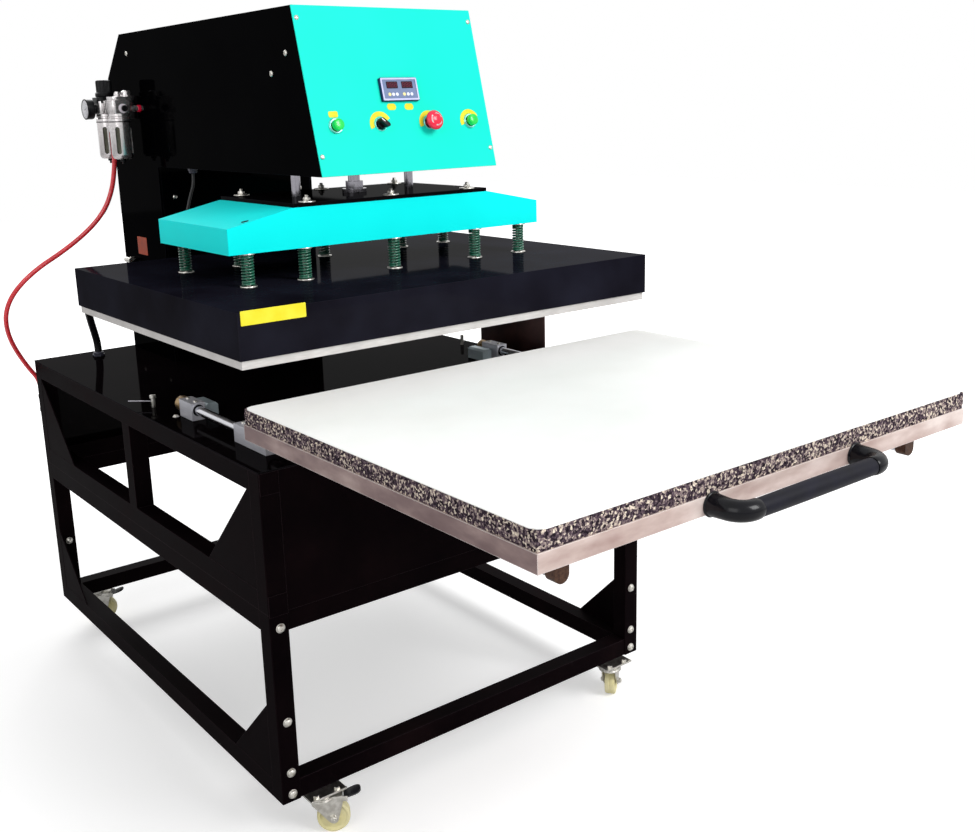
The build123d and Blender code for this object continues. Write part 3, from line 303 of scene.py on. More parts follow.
def bonded_foam():
    """Rebonded foam: dark violet-grey sponge chips pressed together, with cream flecks, 3 to 4 mm across."""
    made, tree, shader = start("bonded_foam", specular=0.1)
    chips = grain(tree, 3.6, kind="ShaderNodeTexVoronoi", feature="F1")
    pick = node(tree, "ShaderNodeSeparateColor", {"Color": chips.outputs["Color"]})
    fine = grain(tree, 2.6, 3).outputs["Fac"]
    blend = node(tree, "ShaderNodeMath", {0: pick.outputs[0], 1: fine}, operation="ADD")
    half = node(tree, "ShaderNodeMath", {0: blend.outputs[0], 1: 0.5}, operation="MULTIPLY")
    colour = ramp(tree, half.outputs[0], [
        (0.26, "#1b141b"), (0.42, "#3c303a"), (0.54, "#63545c"), (0.64, "#9c8c86"), (0.76, "#e6d9c6"),
    ])
    tree.links.new(colour, shader.inputs["Base Color"])
    shader.inputs["Roughness"].default_value = 0.95
    relief(tree, shader, chips.outputs["Distance"], 0.9)
    return made


def coated_cloth():
    """Silicone-faced glass cloth: plain white, matt, with its plain weave drawn at 1.6 mm so that it shows."""
    made, tree, shader = start("coated_white_cloth", sheen=0.15)
    cloud = grain(tree, 180, 3).outputs["Fac"]
    tree.links.new(ramp(tree, cloud, [(0.3, "#f6f6f3"), (0.7, "#fdfdfb")]), shader.inputs["Base Color"])
    shader.inputs["Roughness"].default_value = 0.7
    warp = grain(tree, 1.6, kind="ShaderNodeTexWave", wave_type="BANDS", bands_direction="X")
    weft = grain(tree, 1.6, kind="ShaderNodeTexWave", wave_type="BANDS", bands_direction="Y")
    weave = node(tree, "ShaderNodeMath", {0: warp.outputs["Fac"], 1: weft.outputs["Fac"]}, operation="ADD")
    relief(tree, shader, weave.outputs[0], 0.03)
    return made


def enamelled_wire():
    """Green enamel baked on spring wire: dark bottle green with a sharp line of light along each coil."""
    return surface("green_spring_enamel", 8, [(0.3, "#0f4a36"), (0.7, "#1f6e55")], 0.3, (0, 0, 0.03, 0),
                   coat=0.4, coat_roughness=0.1)


def moulded(name, deep, light, roughness, texture=1.0, depth=0.03, coat=0.0, specular=0.5):
    """A moulded plastic or rubber: one colour with a slight cloud and the mould's spark-eroded skin."""
    return surface(name, 30, [(0.3, deep), (0.7, light)], (roughness - 0.05, roughness + 0.07),
                   (texture, 2, depth, 0), detail=2, coat=coat, coat_roughness=0.08, specular=specular)


def air_hose_red():
    """Clear red polyurethane tube: bright and glossy, lighter where light gets into the wall."""
    return surface("polyurethane_red", 40, [(0.3, "#d4202c"), (0.7, "#e83a44")], 0.22, (0, 0, 0.01, 0),
                   detail=2, coat=0.4, coat_roughness=0.05, subsurface=0.25, subsurface_scale=0.003)


def metal_tone(name, deep, light, roughness, size=6.0, metallic=1.0):
    """A bare or oxidised metal in one tone, with turning marks and a slight bloom."""
    return surface(name, size, [(0.3, deep), (0.7, light)], (roughness - 0.08, roughness + 0.1),
                   (0, 0, 0.03, 0.6), detail=4, metallic=metallic)


def clear_plastic(name, colour, roughness=0.05):
    """Clear moulded polycarbonate: tinted, glossy, and seen through."""
    made, tree, shader = start(name, transmission=0.9)
    cloud = grain(tree, 20, 2).outputs["Fac"]
    shader.inputs["Base Color"].default_value = linear(colour)
    tree.links.new(spread(tree, cloud, roughness, roughness + 0.05), shader.inputs["Roughness"])
    return made


coat_black = powder_coat()
enamel_table = stoved_enamel("gloss_black_table", "#070506", "#0c080a", 0.05)
enamel_head = stoved_enamel("gloss_black_head", "#010102", "#030304", 0.02)
# The platen's darkest tone is its navy-black paint; the lighter navy patches of its cloud are painted reflection
# of glare.
enamel_platen_painted_glare = stoved_enamel("gloss_black_platen", "#0e0c13", "#1b1b25", 0.07)
enamel_plate = stoved_enamel("gloss_black_plate", "#070608", "#0d0a0c", 0.05)
# The last colour of each turquoise is painted shade: a darker, bluer tone mixed in along every edge.
turquoise_panel = turquoise_enamel("turquoise_panel", "#0fe3ca", "#19e8d0", "#0bb4b4")
turquoise_beam = turquoise_enamel("turquoise_beam", "#08f4f2", "#0dfefb", "#0aa6e0")
zinc = zinc_plate()
steel = ground_steel()
block_metal = milled_aluminium("milled_block", (1, 20, 1), "#c2c2cc", "#ececf2")
plate_metal = milled_aluminium("milled_plate", (20, 1, 1), "#b5b1ae", "#e4e1df")
cast_metal = cast_zinc()
drawer_metal = tray_metal("scuffed_aluminium", ("#a58b85", "#c0aba4", "#d0beb8", "#e4d7d1"))
# A darker copy of the drawer's aluminium: painted shade for the tray's left face, which turns away from the
# light.
drawer_side_painted_shade = tray_metal("aluminium_side_painted_shade", ("#6c5757", "#7d6867", "#907b78", "#ac9893"))
foam = bonded_foam()
cloth = coated_cloth()
spring_green = enamelled_wire()
grip_black = moulded("textured_nylon", "#0b0b14", "#131320", 0.5, 0.9, 0.05, 0.0, 0.15)
elbow_black = moulded("polished_nylon", "#050509", "#0b0b12", 0.24, 2.0, 0.01, 0.15, 0.15)
knob_black = moulded("moulded_black", "#060608", "#0d0d10", 0.38, 1.0, 0.03, 0.0, 0.2)
rubber_black = moulded("seal_rubber", "#07070a", "#101015", 0.5, 1.5, 0.03, 0.0, 0.2)
cable_black = moulded("cable_pvc", "#070709", "#0f0f13", 0.4, 1.5, 0.03, 0.0, 0.4)
pedal_black = moulded("pedal_nylon", "#0f0f13", "#1a1a20", 0.45)
navy_bezel = moulded("navy_abs", "#121c48", "#1c2858", 0.4, 1.0, 0.03, 0.0, 0.2)
face_grey = moulded("display_overlay", "#66769a", "#7383a6", 0.45, 3.0, 0.005, 0.0, 0.2)
face_border = moulded("display_border", "#b9bce4", "#c9ccf0", 0.45, 3.0, 0.005, 0.0, 0.2)
window_dark = moulded("smoked_window", "#160713", "#1e0a19", 0.3, 6.0, 0.002, 0.0, 0.1)
digit_red = moulded("unlit_digit", "#6a1430", "#7c1c3a", 0.4, 6.0, 0.002, 0.0, 0.1)
key_cream = moulded("cream_key", "#f0dc8c", "#f8e8a0", 0.35, 2.0, 0.01, 0.0, 0.2)
key_white = moulded("white_key", "#dfe2f4", "#eceef8", 0.35, 2.0, 0.01, 0.0, 0.2)
button_green = moulded("green_acrylic", "#14d04a", "#25e060", 0.2, 4.0, 0.01, 0.3, 0.3)
button_red = moulded("red_gloss", "#e01236", "#ef2a4c", 0.2, 4.0, 0.01, 0.3, 0.3)
mark_white = moulded("white_mark", "#ececef", "#f7f7f9", 0.4, 3.0, 0.005)
legend_yellow = moulded("yellow_vinyl", "#e2d42c", "#ecdf42", 0.4, 3.0, 0.01, 0.0, 0.1)
gland_grey = moulded("grey_gland_nylon", "#34343f", "#474755", 0.4, 2.0, 0.02, 0.0, 0.3)
tag_orange = moulded("orange_vinyl", "#93330e", "#a63d14", 0.4, 3.0, 0.01, 0.0, 0.2)
cream_tyre = moulded("cream_polyurethane", "#d8cf98", "#e8e0b4", 0.4, 3.0, 0.02, 0.0, 0.3)
hose_red = air_hose_red()
bronze = metal_tone("sintered_bronze", "#8c7350", "#b3976c", 0.34, 3.0)
brown_bronze = metal_tone("browned_bronze", "#3a241c", "#5c4030", 0.42, 4.0, 0.7)
dark_rod = metal_tone("oiled_rod", "#8b8890", "#b6b4bc", 0.12, 60.0)
# The guard plate is black sheet; its brown tones are painted warm light falling on it from the right.
black_plate_painted_warm_light = metal_tone("black_sheet_painted_warm_light", "#2a1614", "#4a2a27", 0.34, 60.0, 0.5)
side_metal = milled_aluminium("sawn_block", (1, 20, 1), "#a9bcc4", "#d3e0e4")
# Nickel rings and nuts tinted turquoise: the tint is a painted reflection of the turquoise panel around them.
nickel_painted_reflection = metal_tone("nickel_turquoise_reflection_painted", "#7fc9c6", "#a4e4de", 0.3, 4.0)
oxide_steel = metal_tone("oxidised_steel", "#5a544e", "#7b736b", 0.5)
dial_white = moulded("dial_enamel", "#e9dfe8", "#f4edf3", 0.35, 3.0, 0.005)
dial_black = moulded("dial_print", "#17171c", "#222228", 0.5, 3.0, 0.005)
board_fibre = moulded("fibre_board", "#cfc6ae", "#ded6c1", 0.9, 2.0, 0.2)
bowl_clear = clear_plastic("polycarbonate_bowl", "#d9dbb8", 0.08)
lens_clear = clear_plastic("dial_glass", "#f4f6f8", 0.02)


def flat_reach(apothem, angle, sides):
    """Distance to the edge of a regular polygon in a direction."""
    part = tau / sides
    return apothem / cos((angle + part / 2) % part - part / 2)


def ring_at(bm, outline, height, place):
    """An outline's vertices at a height along local Z."""
    return [bm.verts.new(place @ Vector((x, y, height))) for x, y in outline]


def lathe(bm, profile, place, steps=48, ring=False):
    """Turns (radius, height) points about local Z; a third number is the sides of a polygon in that ring."""
    rings = []
    for radius, height, *sides in profile:
        if radius == 0:
            rings.append([bm.verts.new(place @ Vector((0, 0, height)))])
            continue
        outline = []
        for step in range(steps):
            angle = tau * step / steps
            reach = flat_reach(radius, angle, sides[0]) if sides else radius
            outline.append((reach * cos(angle), reach * sin(angle)))
        rings.append(ring_at(bm, outline, height, place))
    pairs = list(zip(rings, rings[1:]))
    if ring:
        pairs.append((rings[-1], rings[0]))
    for low, high in pairs:
        for step in range(steps):
            after = (step + 1) % steps
            if len(low) == 1:
                bm.faces.new((low[0], high[after], high[step]))
            elif len(high) == 1:
                bm.faces.new((low[step], low[after], high[0]))
            else:
                bm.faces.new((low[step], low[after], high[after], high[step]))
    if not ring:
        for end in (rings[0], rings[-1]):
            if len(end) > 1:
                bm.faces.new(end)


def soften(bm, faces, edge, segments=2):
    """Rounds the edges of some faces by a radius in millimetres."""
    sides = {side for face in faces for side in face.edges}
    bmesh.ops.bevel(bm, geom=list(sides), offset=edge / 1000, segments=segments, profile=0.5,
                    affect="EDGES", clamp_overlap=True)


def prism(bm, outline, low, high, place, edge=0.0, segments=2):
    """An outline in the local XY plane, raised along local Z, with softened edges."""
    lower, upper = [ring_at(bm, outline, height, place) for height in (low, high)]
    faces = [bm.faces.new(lower[::-1]), bm.faces.new(upper)]
    for i in range(len(outline)):
        j = (i + 1) % len(outline)
        faces.append(bm.faces.new((lower[i], lower[j], upper[j], upper[i])))
    if edge:
        soften(bm, faces, edge, segments)


def slab(bm, low, high, place, edge=0.8, segments=2):
    """A block between two local corners, with softened edges."""
    outline = [(low[0], low[1]), (high[0], low[1]), (high[0], high[1]), (low[0], high[1])]
    prism(bm, outline, low[2], high[2], place, edge, segments)


def arc(x, y, radius, start_angle, end_angle, steps=12):
    """Points on an arc in the local XY plane, angles in degrees."""
    angles = [radians(start_angle + (end_angle - start_angle) * step / steps) for step in range(steps + 1)]
    return [(x + radius * cos(a), y + radius * sin(a)) for a in angles]


def rounded(width, height, radius, steps=5):
    """The outline of a rectangle with rounded corners, about its middle."""
    x, y = width / 2 - radius, height / 2 - radius
    corners = ((x, y, 0), (-x, y, 90), (-x, -y, 180), (x, -y, 270))
    return [point for cx, cy, turn in corners for point in arc(cx, cy, radius, turn, turn + 90, steps)]


def loft(bm, rings, capped=True):
    """Faces from ring to ring of as many vertices each, with both ends closed unless they meet."""
    for low, high in zip(rings, rings[1:]):
        for i in range(len(low)):
            j = (i + 1) % len(low)
            bm.faces.new((low[i], low[j], high[j], high[i]))
    if capped:
        bm.faces.new(rings[0][::-1])
        bm.faces.new(rings[-1])


def tube(bm, points, radii, sides=16):
    """A round tube along points in the frame's metres; radii in millimetres, one or one for each point."""
    if not hasattr(radii, "__len__"):
        radii = [radii] * len(points)
    count = len(points)
    rings = []
    course = (points[1] - points[0]).normalized()
    side = course.orthogonal().normalized()
    for i, point in enumerate(points):
        before = points[max(i - 1, 0)]
        after = points[min(i + 1, count - 1)]
        onward = (after - before).normalized()
        side = (course.rotation_difference(onward) @ side).normalized()
        side = (side - onward * side.dot(onward)).normalized()
        course = onward
        up = course.cross(side)
        reach = radii[i] / 1000
        ring = [point + (side * cos(tau * s / sides) + up * sin(tau * s / sides)) * reach for s in range(sides)]
        rings.append([bm.verts.new(p) for p in ring])
    loft(bm, rings)


def build(name, material, body, slot, *steps, smooth=32):
    """A piece that rides on a body, from steps called with its mesh; edges sharper than smooth stay crisp."""
    bm = bmesh.new()
    for step in steps:
        step(bm)
    bmesh.ops.recalc_face_normals(bm, faces=bm.faces)
    mesh = bpy.data.meshes.new(name)
    bm.to_mesh(mesh)
    bm.free()
    mesh.materials.append(material)
    mesh.shade_smooth()
    mesh.set_sharp_from_angle(angle=radians(smooth))
    piece = bpy.data.objects.new(name, mesh)
    bpy.context.scene.collection.objects.link(piece)
    if body:
        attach(piece, body)
    return piece


def turned(name, material, body, slot, place, profile, steps=48, ring=False):
    """A piece turned on the lathe from one profile."""
    return build(name, material, body, slot, lambda bm: lathe(bm, profile, place, steps, ring))


def carve(piece, cutter):
    """Cuts one piece's shape out of another, then deletes the cutter."""
    cut = piece.modifiers.new("cut", "BOOLEAN")
    cut.object = cutter
    cut.operation = "DIFFERENCE"
    cut.solver = "EXACT"
    bpy.context.view_layer.update()
    result = bpy.data.meshes.new_from_object(piece.evaluated_get(bpy.context.evaluated_depsgraph_get()))
    piece.modifiers.clear()
    piece.data = result
    bpy.data.objects.remove(cutter)
    result.set_sharp_from_angle(angle=radians(32))


def dress(material, *names):
    """Gives CAD nodes their material."""
    for name in names:
        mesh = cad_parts[name].data
        mesh.materials.clear()
        mesh.materials.append(material)


def paint(name, material, where):
    """Gives some faces of a CAD node another material, by the place of each face in millimetres."""
    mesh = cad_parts[name].data
    mesh.materials.append(material)
    index = len(mesh.materials) - 1
    for face in mesh.polygons:
        x, y, z = face.center
        if where(x * 1000, (y - PLATEN_FRONT) * 1000, z * 1000):
            face.material_index = index


# Frame, table and head keep their solids and get their finishes.
dress(coat_black, "stand_legs", "stand_rails", "corner_plates", "table_frame", "front_panel")
dress(enamel_table, "table_top")
dress(enamel_head, "side_panels", "head_cover", "inner_plates")
dress(turquoise_panel, "control_panel")
dress(turquoise_beam, "press_beam")
dress(enamel_plate, "press_plate")
dress(enamel_platen_painted_glare, "platen_cover")
dress(plate_metal, "heated_plate")
dress(drawer_metal, "drawer_tray")
# Painted shade: the tray's left face takes the darker copy of its aluminium.
paint("drawer_tray", drawer_side_painted_shade, lambda x, y, z: x < -DRAWER_HALF + 1)
dress(steel, "drawer_runners")
dress(dark_rod, "press_rods")
dress(block_metal, "slide_blocks", "cylinder_parts")
dress(zinc, "press_bolts", "spring_bolts", "caster_plates", "table_fittings", "fasteners")
dress(cast_metal, "air_unit")
dress(knob_black, "electrical_parts", "controller", "mode_knob", "air_gauge", "regulator_knob")
dress(oxide_steel, "heater_strips")
dress(board_fibre, "insulation_board")
dress(button_green, "start_button_left", "start_button_right")
dress(button_red, "stop_button")
dress(spring_green, "press_springs")
dress(grip_black, "drawer_handle")
dress(foam, "drawer_foam")
dress(cloth, "drawer_sheet")
dress(hose_red, "air_hose")
dress(cable_black, "sensor_cable", "heater_cable")
for number in range(1, 7):
    dress(key_white, f"display_key_{number}")

SHAFT_X, SHAFT_Z = 410, TABLE_TOP + 21


def off_shaft(x, z):
    """Distance from the nearer drawer shaft's middle line."""
    return hypot(abs(x) - SHAFT_X, z - SHAFT_Z)


BRACKET_FRONT = DRAWER_FRONT + 48
paint("drawer_runners", bronze, lambda x, y, z: off_shaft(x, z) > 10.6 and y > 300)
paint("drawer_runners", brown_bronze, lambda x, y, z: y < BRACKET_FRONT + 21 and (
    off_shaft(x, z) > 10.6 or y < BRACKET_FRONT + 1 or z > SHAFT_Z + 12))
paint("slide_blocks", rubber_black,
      lambda x, y, z: 9.5 < off_shaft(x, z) < 12.6 and abs(abs(x) - SHAFT_X) < 13)
paint("slide_blocks", side_metal, lambda x, y, z: abs(x) < SHAFT_X - 20)


def on_drawer():
    """Foam pad, white cloth and bow handle of the drawer."""
    middle_y = (DRAWER_FRONT + DRAWER_REAR) / 2
    depth = DRAWER_REAR - DRAWER_FRONT
    inset = 2

    def foam_block(bm):
        rows = 7
        half_x, half_y = DRAWER_HALF - inset, depth / 2 - inset
        step = 6
        outline = []
        corners = [(-half_x, -half_y), (half_x, -half_y), (half_x, half_y), (-half_x, half_y)]
        for (x0, y0), (x1, y1) in zip(corners, corners[1:] + corners[:1]):
            count = round(hypot(x1 - x0, y1 - y0) / step)
            outline += [(x0 + (x1 - x0) * i / count, y0 + (y1 - y0) * i / count) for i in range(count)]
        rings = []
        for row in range(rows + 1):
            share = row / rows
            z = FOAM_LOW + (FOAM_HIGH - FOAM_LOW) * share
            swell = 1.6 * sin(pi * share)
            ring = []
            for i, (x, y) in enumerate(outline):
                rough = 0.35 * sin(i * 2.399 + row * 1.7) + 0.25 * sin(i * 0.71 + row * 3.1)
                reach = (swell + rough - 1.0) / hypot(x, y)
                grow = 1 + reach if 0 < row < rows else 1 - 0.6 / hypot(x, y)
                ring.append(bm.verts.new(spot(x * grow, middle_y + y * grow, z)))
            rings.append(ring)
        loft(bm, rings)

    pad = build("pad_foam", foam, "drawer", "speckled_pad", foam_block, smooth=60)
    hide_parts("drawer_foam")

    def cloth_sheet(bm):
        half_x, half_y = DRAWER_HALF - 0.5, depth / 2 - 0.5
        corner = 18
        across, along = 60, 48
        top, low = {}, {}
        for i in range(across + 1):
            for j in range(along + 1):
                u, v = i / across * 2 - 1, j / along * 2 - 1
                x, y = u * half_x, v * half_y
                dx, dy = max(abs(x) - half_x + corner, 0), max(abs(y) - half_y + corner, 0)
                if dx and dy and hypot(dx, dy) > corner:
                    pull = corner / hypot(dx, dy)
                    x = (half_x - corner + dx * pull) * (1 if x > 0 else -1)
                    y = (half_y - corner + dy * pull) * (1 if y > 0 else -1)
                rim = max(abs(u), abs(v)) ** 14
                wave = 0.35 * sin(x / 61 + 0.8 * sin(y / 83)) * sin(y / 74 + 1.1) * (1 - rim)
                z = PAD_TOP - 0.7 + wave - 0.7 * rim
                top[i, j] = bm.verts.new(spot(x, middle_y + y, z))
                low[i, j] = bm.verts.new(spot(x, middle_y + y, PAD_TOP - 2.9))
        for i in range(across):
            for j in range(along):
                bm.faces.new((top[i, j], top[i + 1, j], top[i + 1, j + 1], top[i, j + 1]))
                bm.faces.new((low[i, j], low[i, j + 1], low[i + 1, j + 1], low[i + 1, j]))
        border = [(i, 0) for i in range(across)] + [(across, j) for j in range(along)]
        border += [(i, along) for i in range(across, 0, -1)] + [(0, j) for j in range(along, 0, -1)]
        for k, place in enumerate(border):
            after = border[(k + 1) % len(border)]
            bm.faces.new((low[place], low[after], top[after], top[place]))

    sheet = build("pad_cloth", cloth, "drawer", "white_sheet", cloth_sheet, smooth=50)
    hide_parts("drawer_sheet")

    reach, half, bend, straight = 53, 170, 26, 34
    grip_y, grip_z = DRAWER_FRONT - reach, TRAY_LOW + 14
    end = half - straight

    def grip(bm):
        profile = [(12.2, 0), (13.6, 1.5), (14.0, 6)]
        profile += [(14.0 + 0.5 * sin(pi * step / 10), 6 + (2 * end - 12) * step / 10) for step in range(1, 10)]
        profile += [(14.0, 2 * end - 6), (13.6, 2 * end - 1.5), (12.2, 2 * end)]
        lathe(bm, profile, at(-end, grip_y, grip_z, (1, 0, 0)), 40)

    bar = build("handle_grip", grip_black, "drawer", "black_plastic", grip)
    for side in (-1, 1):
        points, radii = [], []
        for step in range(3):
            points.append(spot(side * half, DRAWER_FRONT - 0.2 - (reach - bend) * step / 2, grip_z))
            radii.append(17.5 - 0.6 * step)
        for step in range(1, 13):
            turn = pi / 2 * step / 12
            points.append(spot(side * (half - bend * (1 - cos(turn))), grip_y + bend - bend * sin(turn), grip_z))
            radii.append(16.3 - 0.9 * step / 12)
        points.append(spot(side * (end + 3), grip_y, grip_z))
        points.append(spot(side * end, grip_y, grip_z))
        radii += [15.2, 14.3]

        def elbow(bm, points=points, radii=radii):
            tube(bm, points, radii, 32)

        def foot(bm, side=side):
            lathe(bm, [(19.0, 0.3), (19.4, 1.2), (18.6, 2.6), (17.2, 3.4)],
                  at(side * half, DRAWER_FRONT, grip_z, (0, -1, 0)), 40)

        build(f"handle_elbow_{'left' if side < 0 else 'right'}", elbow_black, "drawer", "black_plastic",
              elbow, foot, smooth=50)
    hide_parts("drawer_handle")


def route_line(points):
    """The smooth line of a cord's route, as the points of its NURBS spline."""
    curve = bpy.data.curves.new("route", "CURVE")
    curve.dimensions = "3D"
    curve.resolution_u = 8
    spline = curve.splines.new("NURBS")
    spline.points.add(len(points) - 1)
    for control, point in zip(spline.points, points):
        control.co = (*spot(*point), 1.0)
    spline.order_u = 3
    spline.use_endpoint_u = True
    holder = bpy.data.objects.new("route", curve)
    bpy.context.scene.collection.objects.link(holder)
    bpy.context.view_layer.update()
    line = bpy.data.meshes.new_from_object(holder)
    found = [vertex.co.copy() for vertex in line.vertices]
    bpy.data.objects.remove(holder)
    return found


def run_length(line):
    return sum((b - a).length for a, b in zip(line, line[1:]))


AIR_X, REGULATOR_Y, LUBRICATOR_Y = -273, 1127, 1042
BODY_LOW, BODY_HIGH = 1375, 1435
HOSE_ROUTE = [
    (-278, 1084.5, 1350), (-278, 1084.5, 1300), (-282, 1089, 1255), (-290, 1096, 1209), (-308, 1103, 1164),
    (-336, 1113, 1127), (-375, 1126, 1091), (-424, 1140, 1056), (-474, 1154, 1026), (-517, 1171, 989),
    (-544, 1190, 951), (-555, 1212, 910), (-552, 1232, 870), (-540, 1252, 830), (-519, 1270, 786),
    (-493, 1285, 742), (-468, 1293, 706), (-468, 1293, 668),
]
SENSOR_ROUTE = [
    (-200, 800, 1252.5), (-200, 800, 1230), (-215, 795, 1198), (-230, 788, 1160), (-242, 782, 1122),
    (-246, 780, 1092), (-246, 780, 1070),
]
HEATER_ROUTE = [
    (-440, 823, 990), (-440, 862, 990), (-436, 911, 990), (-427, 962, 986), (-415, 1012, 976),
    (-401, 1060, 957), (-385, 1107, 932), (-368, 1149, 903), (-353, 1177, 863), (-341, 1192, 826),
    (-335, 1198, 800), (-335, 1198, 780),
]


def cords():
    """The red air hose and the two cables that run to the platen."""
    hose_line = route_line(HOSE_ROUTE)
    hose = build("red_air_hose", hose_red, "frame", "red_hose", lambda bm: tube(bm, hose_line, 6, 24), smooth=60)
    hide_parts("air_hose")
    spot(*HOSE_ROUTE[0])
    run_length(hose_line)
    for name, node_name, route, upper, lower, radius in (
            ("head_to_platen_cable", "sensor_cable", SENSOR_ROUTE, "frame", "press_head", 3.5),
            ("platen_to_table_cable", "heater_cable", HEATER_ROUTE, "press_head", "frame", 9.5)):
        line = route_line(route)
        cable = build(name, cable_black, None, "black_cable",
                      lambda bm, line=line, radius=radius: tube(bm, line, radius, 20), smooth=60)
        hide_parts(node_name)
        spot(*route[0])
        run_length(line)
        spot(*route[1])
        spot(*route[-2])
        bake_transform(cable)


def gland(name, place, body, wide=10, tall=12):
    """A cable gland: hexagon foot, clamping nut and a rounded mouth."""
    profile = [(wide, 0.2, 6), (wide, tall * 0.42, 6), (wide * 0.86, tall * 0.46), (wide * 0.86, tall * 0.52),
               (wide * 0.95, tall * 0.54, 12), (wide * 0.93, tall * 0.8, 12), (wide * 0.8, tall * 0.94),
               (wide * 0.62, tall)]
    return turned(name, gland_grey, body, "black_plastic", place, profile)


def socket_screw(bm, place, radius, height, socket):
    """A domed screw head with a hexagon socket."""
    profile = [(radius, 0), (radius, height * 0.25)]
    profile += [(radius * cos(a * pi / 10), height * (0.25 + 0.75 * sin(a * pi / 10))) for a in range(1, 4)]
    profile += [(socket * 1.25, height * 0.98), (socket, height * 0.96, 6), (socket * 0.96, height * 0.45, 6),
                (0, height * 0.35)]
    lathe(bm, profile, place, 36)


def hexagon_bolt(bm, place, flats, height, thread, stand):
    """A chamfered hexagon nut or head, with the end of its thread standing out of it."""
    half = flats / 2
    profile = [(half * 0.94, 0), (half, height * 0.12, 6), (half, height * 0.86, 6), (half * 0.93, height)]
    if stand:
        profile += [(thread, height)]
        turns = int(stand / 1.5)
        for step in range(turns):
            base = height + stand * step / turns
            profile += [(thread, base + 0.2), (thread * 0.9, base + stand / turns * 0.6)]
        profile += [(thread * 0.8, height + stand), (0, height + stand)]
    else:
        profile += [(half * 0.5, height), (0, height)]
    lathe(bm, profile, place, 36)


def washer(bm, place, outer, inner, thick):
    """A stamped washer with one rounded rim."""
    lathe(bm, [(inner, 0), (outer, 0), (outer, thick * 0.6), (outer - 0.4, thick), (inner, thick)],
          place, 40, ring=True)


def fasteners():
    """Dome bolts of the stand and socket screws of the head."""
    def heads(bm):
        leg_faces = [(y, out, z) for y, out in ((0, -1), (TABLE_DEPTH, 1)) for z in (111, 157, 265, 460)]
        leg_faces.append((TABLE_DEPTH - 40, -1, 265))
        for side in (-1, 1):
            for y, out, z in leg_faces:
                washer(bm, at(side * (HALF_TABLE - 22), y, z, (0, out, 0)), 9.5, 4.2, 1.4)
                socket_screw(bm, at(side * (HALF_TABLE - 22), y + out * 1.2, z, (0, out, 0)), 8, 5, 2.6)
            for y, z in ((285, 1501), (348, 1464), (1100, 1540), (1180, 820), (1010, 820)):
                socket_screw(bm, at(side * HEAD_HALF, y, z, (side, 0, 0)), 6, 3.5, 2.0)
            socket_screw(bm, at(side * 178, COLUMN_FRONT, 1188, (0, -1, 0)), 6, 3.5, 2.0)
            for up in (39, PANEL_LENGTH - 25):
                socket_screw(bm, panel(side * (HEAD_HALF - 8), up), 5, 3, 1.6)

    screws = build("frame_screws", zinc, "frame", "zinc", heads)
    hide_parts("fasteners")


def on_beam():
    """Bolts of the top plate, springs with their studs and washers, and the pilot slot in the beam's face."""
    centre_y = 405
    rows = [centre_y - 144, centre_y + 144]
    spring_rows = [centre_y - 147, centre_y + 147]
    spring_columns = (-346, -218, 0, 218, 346)

    def bolts(bm):
        for x in (-203, 0, 203):
            for y in rows:
                washer(bm, at(x, y, PLATE_TOP), 17, 4.3, 2)
                hexagon_bolt(bm, at(x, y, PLATE_TOP + 2, turn=17 + x / 9), 13, 7, 4, 5)
                hexagon_bolt(bm, at(x, y, BEAM_TOP - 5, (0, 0, -1)), 13, 9, 4, 5)
        for x in spring_columns:
            for y in spring_rows:
                washer(bm, at(x, y, BEAM_LOW - 2), 17, 5.7, 2)

    plate_bolts = build("plate_bolts", zinc, "press_head", "zinc", bolts)
    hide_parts("press_bolts")

    def studs(bm):
        for x in spring_columns:
            for y in spring_rows:
                lathe(bm, [(0, COVER_LOW - 9), (5, COVER_LOW - 9), (5, BEAM_LOW + 20), (4, BEAM_LOW + 21),
                           (0, BEAM_LOW + 21)], at(x, y, 0), 24)
                washer(bm, at(x, y, COVER_TOP), 17, 5, 2)
                hexagon_bolt(bm, at(x, y, BEAM_LOW + 5), 19, 8, 5, 0)

    platen_studs = build("platen_studs", zinc, "platen", "zinc", studs)
    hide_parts("spring_bolts")
    build("beam_slot", knob_black, "press_head", "turquoise",
          lambda bm: prism(bm, rounded(16, 2.4, 1.1), 0.02, 0.1, at(-352, centre_y - 163, 1187, (0, -1, 0), 8)))
    low, high = COVER_TOP + 2, BEAM_LOW - 2
    wire, mean, turns, steps = 2.4, 11.0, 9, 20

    def springs(bm):
        for column in spring_columns:
            for row in spring_rows:
                points = []
                for step in range((turns + 2) * steps + 1):
                    turn = step / steps
                    if turn < 1:
                        rise = wire * turn
                    elif turn > turns + 1:
                        rise = high - low - 2 * wire - wire * (turns + 2 - turn)
                    else:
                        rise = wire + (high - low - 4 * wire) * (turn - 1) / turns
                    angle = tau * turn + column
                    points.append(spot(column + mean * cos(angle), row + mean * sin(angle), low + wire + rise))
                tube(bm, points, wire, 10)

    coils = build("green_springs", spring_green, "press_head", "spring_green", springs, smooth=70)
    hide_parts("press_springs")
    spot(0, 0, high)
    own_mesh(coils)


